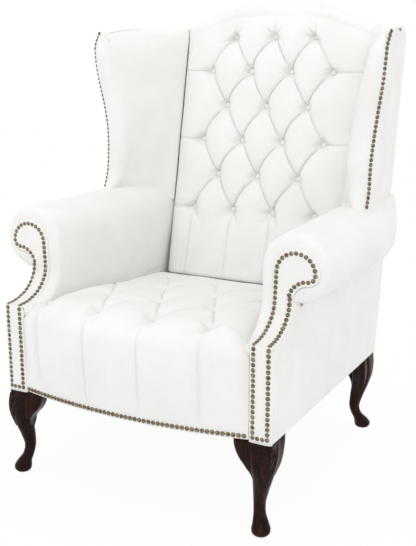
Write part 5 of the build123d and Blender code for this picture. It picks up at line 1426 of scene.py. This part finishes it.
def leg_rings(front, dense):
    """Rings of a leg from the floor up: rounded squares, offset to make the cabriole's curve.

    Each ring is a superellipse, |x|^n + |y|^n = 1, whose power n follows the corner's share.
    """
    foot = np.linspace(0, 0.10, 26) ** 1.15
    foot = foot / foot[-1] * 0.10
    heights = np.concatenate([foot, np.linspace(0.10, 1, 130 if dense else 60)[1:]])
    width, corner, front_side, ahead, rear_side, back = along_table(leg_shares, heights)
    side, out = (front_side, ahead) if front else (rear_side, back)
    toward = -1 if front else 1
    y0 = front_leg_y if front else rear_leg_y
    turn = np.linspace(0, 2 * np.pi, 121 if dense else 73)[:-1]
    power = 2 * (0.5 / np.clip(corner, 0.1, 0.5)) ** 0.9
    cosine, sine = np.cos(turn)[None, :], np.sin(turn)[None, :]
    size = (np.abs(cosine) ** power[:, None] + np.abs(sine) ** power[:, None]) ** (-1 / power[:, None])
    half = leg_block * width[:, None] / 2
    radius = half * size
    z = leg_height * heights[:, None] + 0 * radius
    if front:
        # Distance round the knee from its outer front corner, then the carved relief
        corner_turn = -np.pi / 4
        arc = (np.mod(turn - corner_turn + np.pi, 2 * np.pi) - np.pi)[None, :] * half * 1.25
        relief = np.zeros_like(radius)
        for a, b, strength in scroll_lines():
            near = np.full(radius.shape, 1.0)
            for pa, pb in zip(a[::3], b[::3]):
                near = np.minimum(near, (arc - pa) ** 2 + (z - pb) ** 2)
            relief = np.maximum(relief, strength * np.exp(-near / 0.0019 ** 2))
        field = smooth((z - 0.104) / 0.010) * smooth((0.1965 - z) / 0.006)
        field = field * smooth((0.034 - np.abs(arc)) / 0.006)
        ground = smooth((0.026 * (z - 0.100) / 0.06 + 0.006 - np.abs(arc)) / 0.005)
        ground = 0.0012 * field * ground
        radius = radius + relief * 0.0028 * field - ground
    x = leg_centre_x + leg_block * side[:, None] + radius * cosine
    y = y0 + toward * leg_block * out[:, None] + radius * sine
    return places(x, y, np.minimum(z, leg_height - 0.0001))


def make_ear(front, along_side):
    """Ear beside a leg's top: one slope from the rail's underside down into the leg's own side.

    With depth the far edge moves from the rail's end to the leg's edge. The face starts just inside
    the knee's face and blends to the rail's plane, with a quarter round at the far edge.
    """
    reach, drop = (0.026, 0.135) if along_side else (0.037, 0.100)
    half = leg_block / 2
    down = np.linspace(0, 1, 40)[:, None]
    z = leg_height - 0.0002 - drop * down
    width, _, front_side, ahead, rear_side, back = along_table(leg_shares, z / leg_height)
    side, out = (front_side, ahead) if front else (rear_side, back)
    toward, foot_y = (-1, front_leg_y) if front else (1, rear_leg_y)
    middle_x, middle_y = leg_centre_x + leg_block * side, foot_y + toward * leg_block * out
    here = leg_block * width / 2
    share = along_table(ear_shares, down)[0]
    u = spread(24, crowd=0.03)[None, :]
    if along_side:
        root, centre, rail = middle_y, middle_x, leg_centre_x + half
        edge, far, way = middle_y - toward * here, foot_y - toward * (half + reach), 1
    else:
        root, centre, rail = middle_x, middle_y, foot_y + toward * half
        edge, far, way = middle_x - here, leg_centre_x - half - reach, toward
    inward = np.sign(root - edge)
    end = blend(edge + 0.002 * inward, far, share)
    along = blend(root, end, u)
    turned = 0.006 * (1 - np.sqrt(1 - np.clip((u - 0.82) / 0.18, 0, 1) ** 2)) + 0.004 * (1 - share)
    body = smooth(share * 3)
    knee = blend(centre + way * 0.30 * here, centre + way * (here - 0.004), body)
    face = blend(knee, rail, smooth((u - 0.30) / 0.70) * share) - way * turned * body
    behind = face - way * blend(0.60 * here, 0.022, body)
    z = z + 0 * along
    if along_side:
        return slab(places(face, along, z), places(behind, along, z))
    return slab(places(along, face, z), places(along, behind, z))


for front, name in ((True, "front_leg"), (False, "rear_leg")):
    both_sides(f"{name}_carving" if front else f"{name}_wood", tube(leg_rings(front, front)), mahogany,
               "show_wood", [name])
ears = [make_ear(front, along) for front in (True, False) for along in (True, False)]
piece("knee_ears", *joined(ears + [mirrored(ear) for ear in ears]), mahogany, "show_wood", ["knee_blocks"])


# Underside: thin cloth stretched between the front and rear rails

def make_dust_cloth():
    """Cloth across the underside, sagging 3.5 mm in the middle, its corners cut round the legs."""
    half_x, y0, y1 = 0.2960, -0.352, 0.2640
    u = np.linspace(0, 1, 49)[None, :]
    v = np.linspace(0, 1, 49)[:, None]
    y = blend(y0, y1, v) + 0 * u
    legs = np.maximum(smooth((y0 + 0.088 - y) / 0.012), smooth((y - y1 + 0.088) / 0.012))
    half = blend(half_x, leg_centre_x - leg_block / 2 - 0.0385, legs)
    x = (2 * u - 1) * half
    sag = 0.0035 * np.sqrt(hump(u * 0.9999) * hump(v * 0.9999)) + 0.0004 * ripple(x, y, size=0.07, seed=13)
    below_rails, thickness = 0.0022, 0.0012
    z = leg_height - below_rails - sag
    outer = places(x, y, z)
    inner = places(x, y, z + thickness)
    return slab(outer, inner)


dust_cloth = piece("dust_cloth", *make_dust_cloth(), black_cloth, "cloth", ["dust_cover"])

# Hidden frame, stuffing and fixings keep their CAD solids
hidden = {
    beech: ["front_seat_rail", "rear_seat_rail", "lower_back_rail", "crest_rail", "corner_blocks"],
    stuffing: ["seat_foam", "back_foam"],
    jute: ["seat_webbing", "back_webbing", "seat_hessian"],
    steel: ["leg_bolts"],
}
for part in ("arm_post", "scroll_block", "arm_rail", "under_arm_rail", "tack_rail", "seat_side_rail",
             "back_post", "wing_upright", "wing_top_rail"):
    hidden[beech] += ["left_" + part, "right_" + part]
for material, names in hidden.items():
    for name in names:
        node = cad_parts[name]
        node.data.materials.clear()
        node.data.materials.append(material)


# Floor, world, lights and camera

def pale_ground():
    """Pale floor whose own colour shows white, and which keeps part of the chair's shadow."""
    material = bpy.data.materials.new("pale_floor")
    material.use_nodes = True
    tree = material.node_tree
    tree.nodes.remove(tree.nodes["Principled BSDF"])
    rays = tree.nodes.new("ShaderNodeLightPath")
    seen = add(tree, "ShaderNodeMath", {"operation": "MAXIMUM"},
               i0=rays.outputs["Is Camera Ray"], i1=rays.outputs["Is Glossy Ray"])
    seen = add(tree, "ShaderNodeMath", {"operation": "MAXIMUM"},
               i0=seen.outputs[0], i1=rays.outputs["Is Transmission Ray"])
    amount = add(tree, "ShaderNodeMath", {"operation": "MULTIPLY"}, i0=seen.outputs[0], i1=0.95)
    dull = add(tree, "ShaderNodeBsdfDiffuse", Color=(0.92, 0.92, 0.92, 1))
    white = add(tree, "ShaderNodeEmission", Color=(1, 1, 1, 1), Strength=1.0)
    mix = add(tree, "ShaderNodeMixShader", Fac=amount.outputs[0], i1=dull.outputs[0], i2=white.outputs[0])
    tree.links.new(mix.outputs[0], tree.nodes["Material Output"].inputs["Surface"])
    return material


floor_mesh = bpy.data.meshes.new("floor")
floor_size = 9.0
floor_mesh.from_pydata([(-floor_size, -floor_size, 0), (floor_size, -floor_size, 0),
                        (floor_size, floor_size, 0), (-floor_size, floor_size, 0)], [], [(0, 1, 2, 3)])
floor_obj = bpy.data.objects.new("floor", floor_mesh)
bpy.context.scene.collection.objects.link(floor_obj)
floor_mesh.materials.append(pale_ground())

world = bpy.data.worlds.new("studio")
bpy.context.scene.world = world
world.use_nodes = True
backdrop = world.node_tree.nodes["Background"]
backdrop.inputs["Color"].default_value = (1, 1, 1, 1)
backdrop.inputs["Strength"].default_value = 1.0


def soft_light(name, place, target, size, watts):
    """Large square lamp that looks at a point."""
    lamp = bpy.data.lights.new(name, "AREA")
    lamp.shape = "SQUARE"
    lamp.size = size
    lamp.energy = watts
    obj = bpy.data.objects.new(name, lamp)
    obj.location = place
    obj.rotation_euler = (Vector(target) - Vector(place)).to_track_quat("-Z", "Y").to_euler()
    bpy.context.scene.collection.objects.link(obj)


soft_light("key_light", (-1.5, -2.4, 2.9), (0, 0, 0.5), size=1.3, watts=6)
soft_light("fill_light", (2.3, -2.6, 1.5), (0, 0, 0.5), size=2.2, watts=5)
soft_light("top_light", (0.25, -0.35, 2.5), (0, 0, 0.4), size=1.2, watts=3)

camera = bpy.data.cameras.new("photo_view")
camera.lens = 58.83
camera.sensor_width = 36.0
camera.sensor_fit = "AUTO"
camera_obj = bpy.data.objects.new("photo_view", camera)
back_way = Vector((0.4577, -0.8555, 0.2422)).normalized()
right_way = Vector((0, 0, 1)).cross(back_way).normalized()
up_way = back_way.cross(right_way)
turn = Matrix((right_way, up_way, back_way)).transposed()
camera_place = (0.987, -1.871, 0.959)
camera_obj.matrix_world = Matrix.Translation(camera_place) @ turn.to_4x4()
bpy.context.scene.collection.objects.link(camera_obj)
bpy.context.scene.camera = camera_obj
bpy.context.scene.view_settings.view_transform = "Standard"
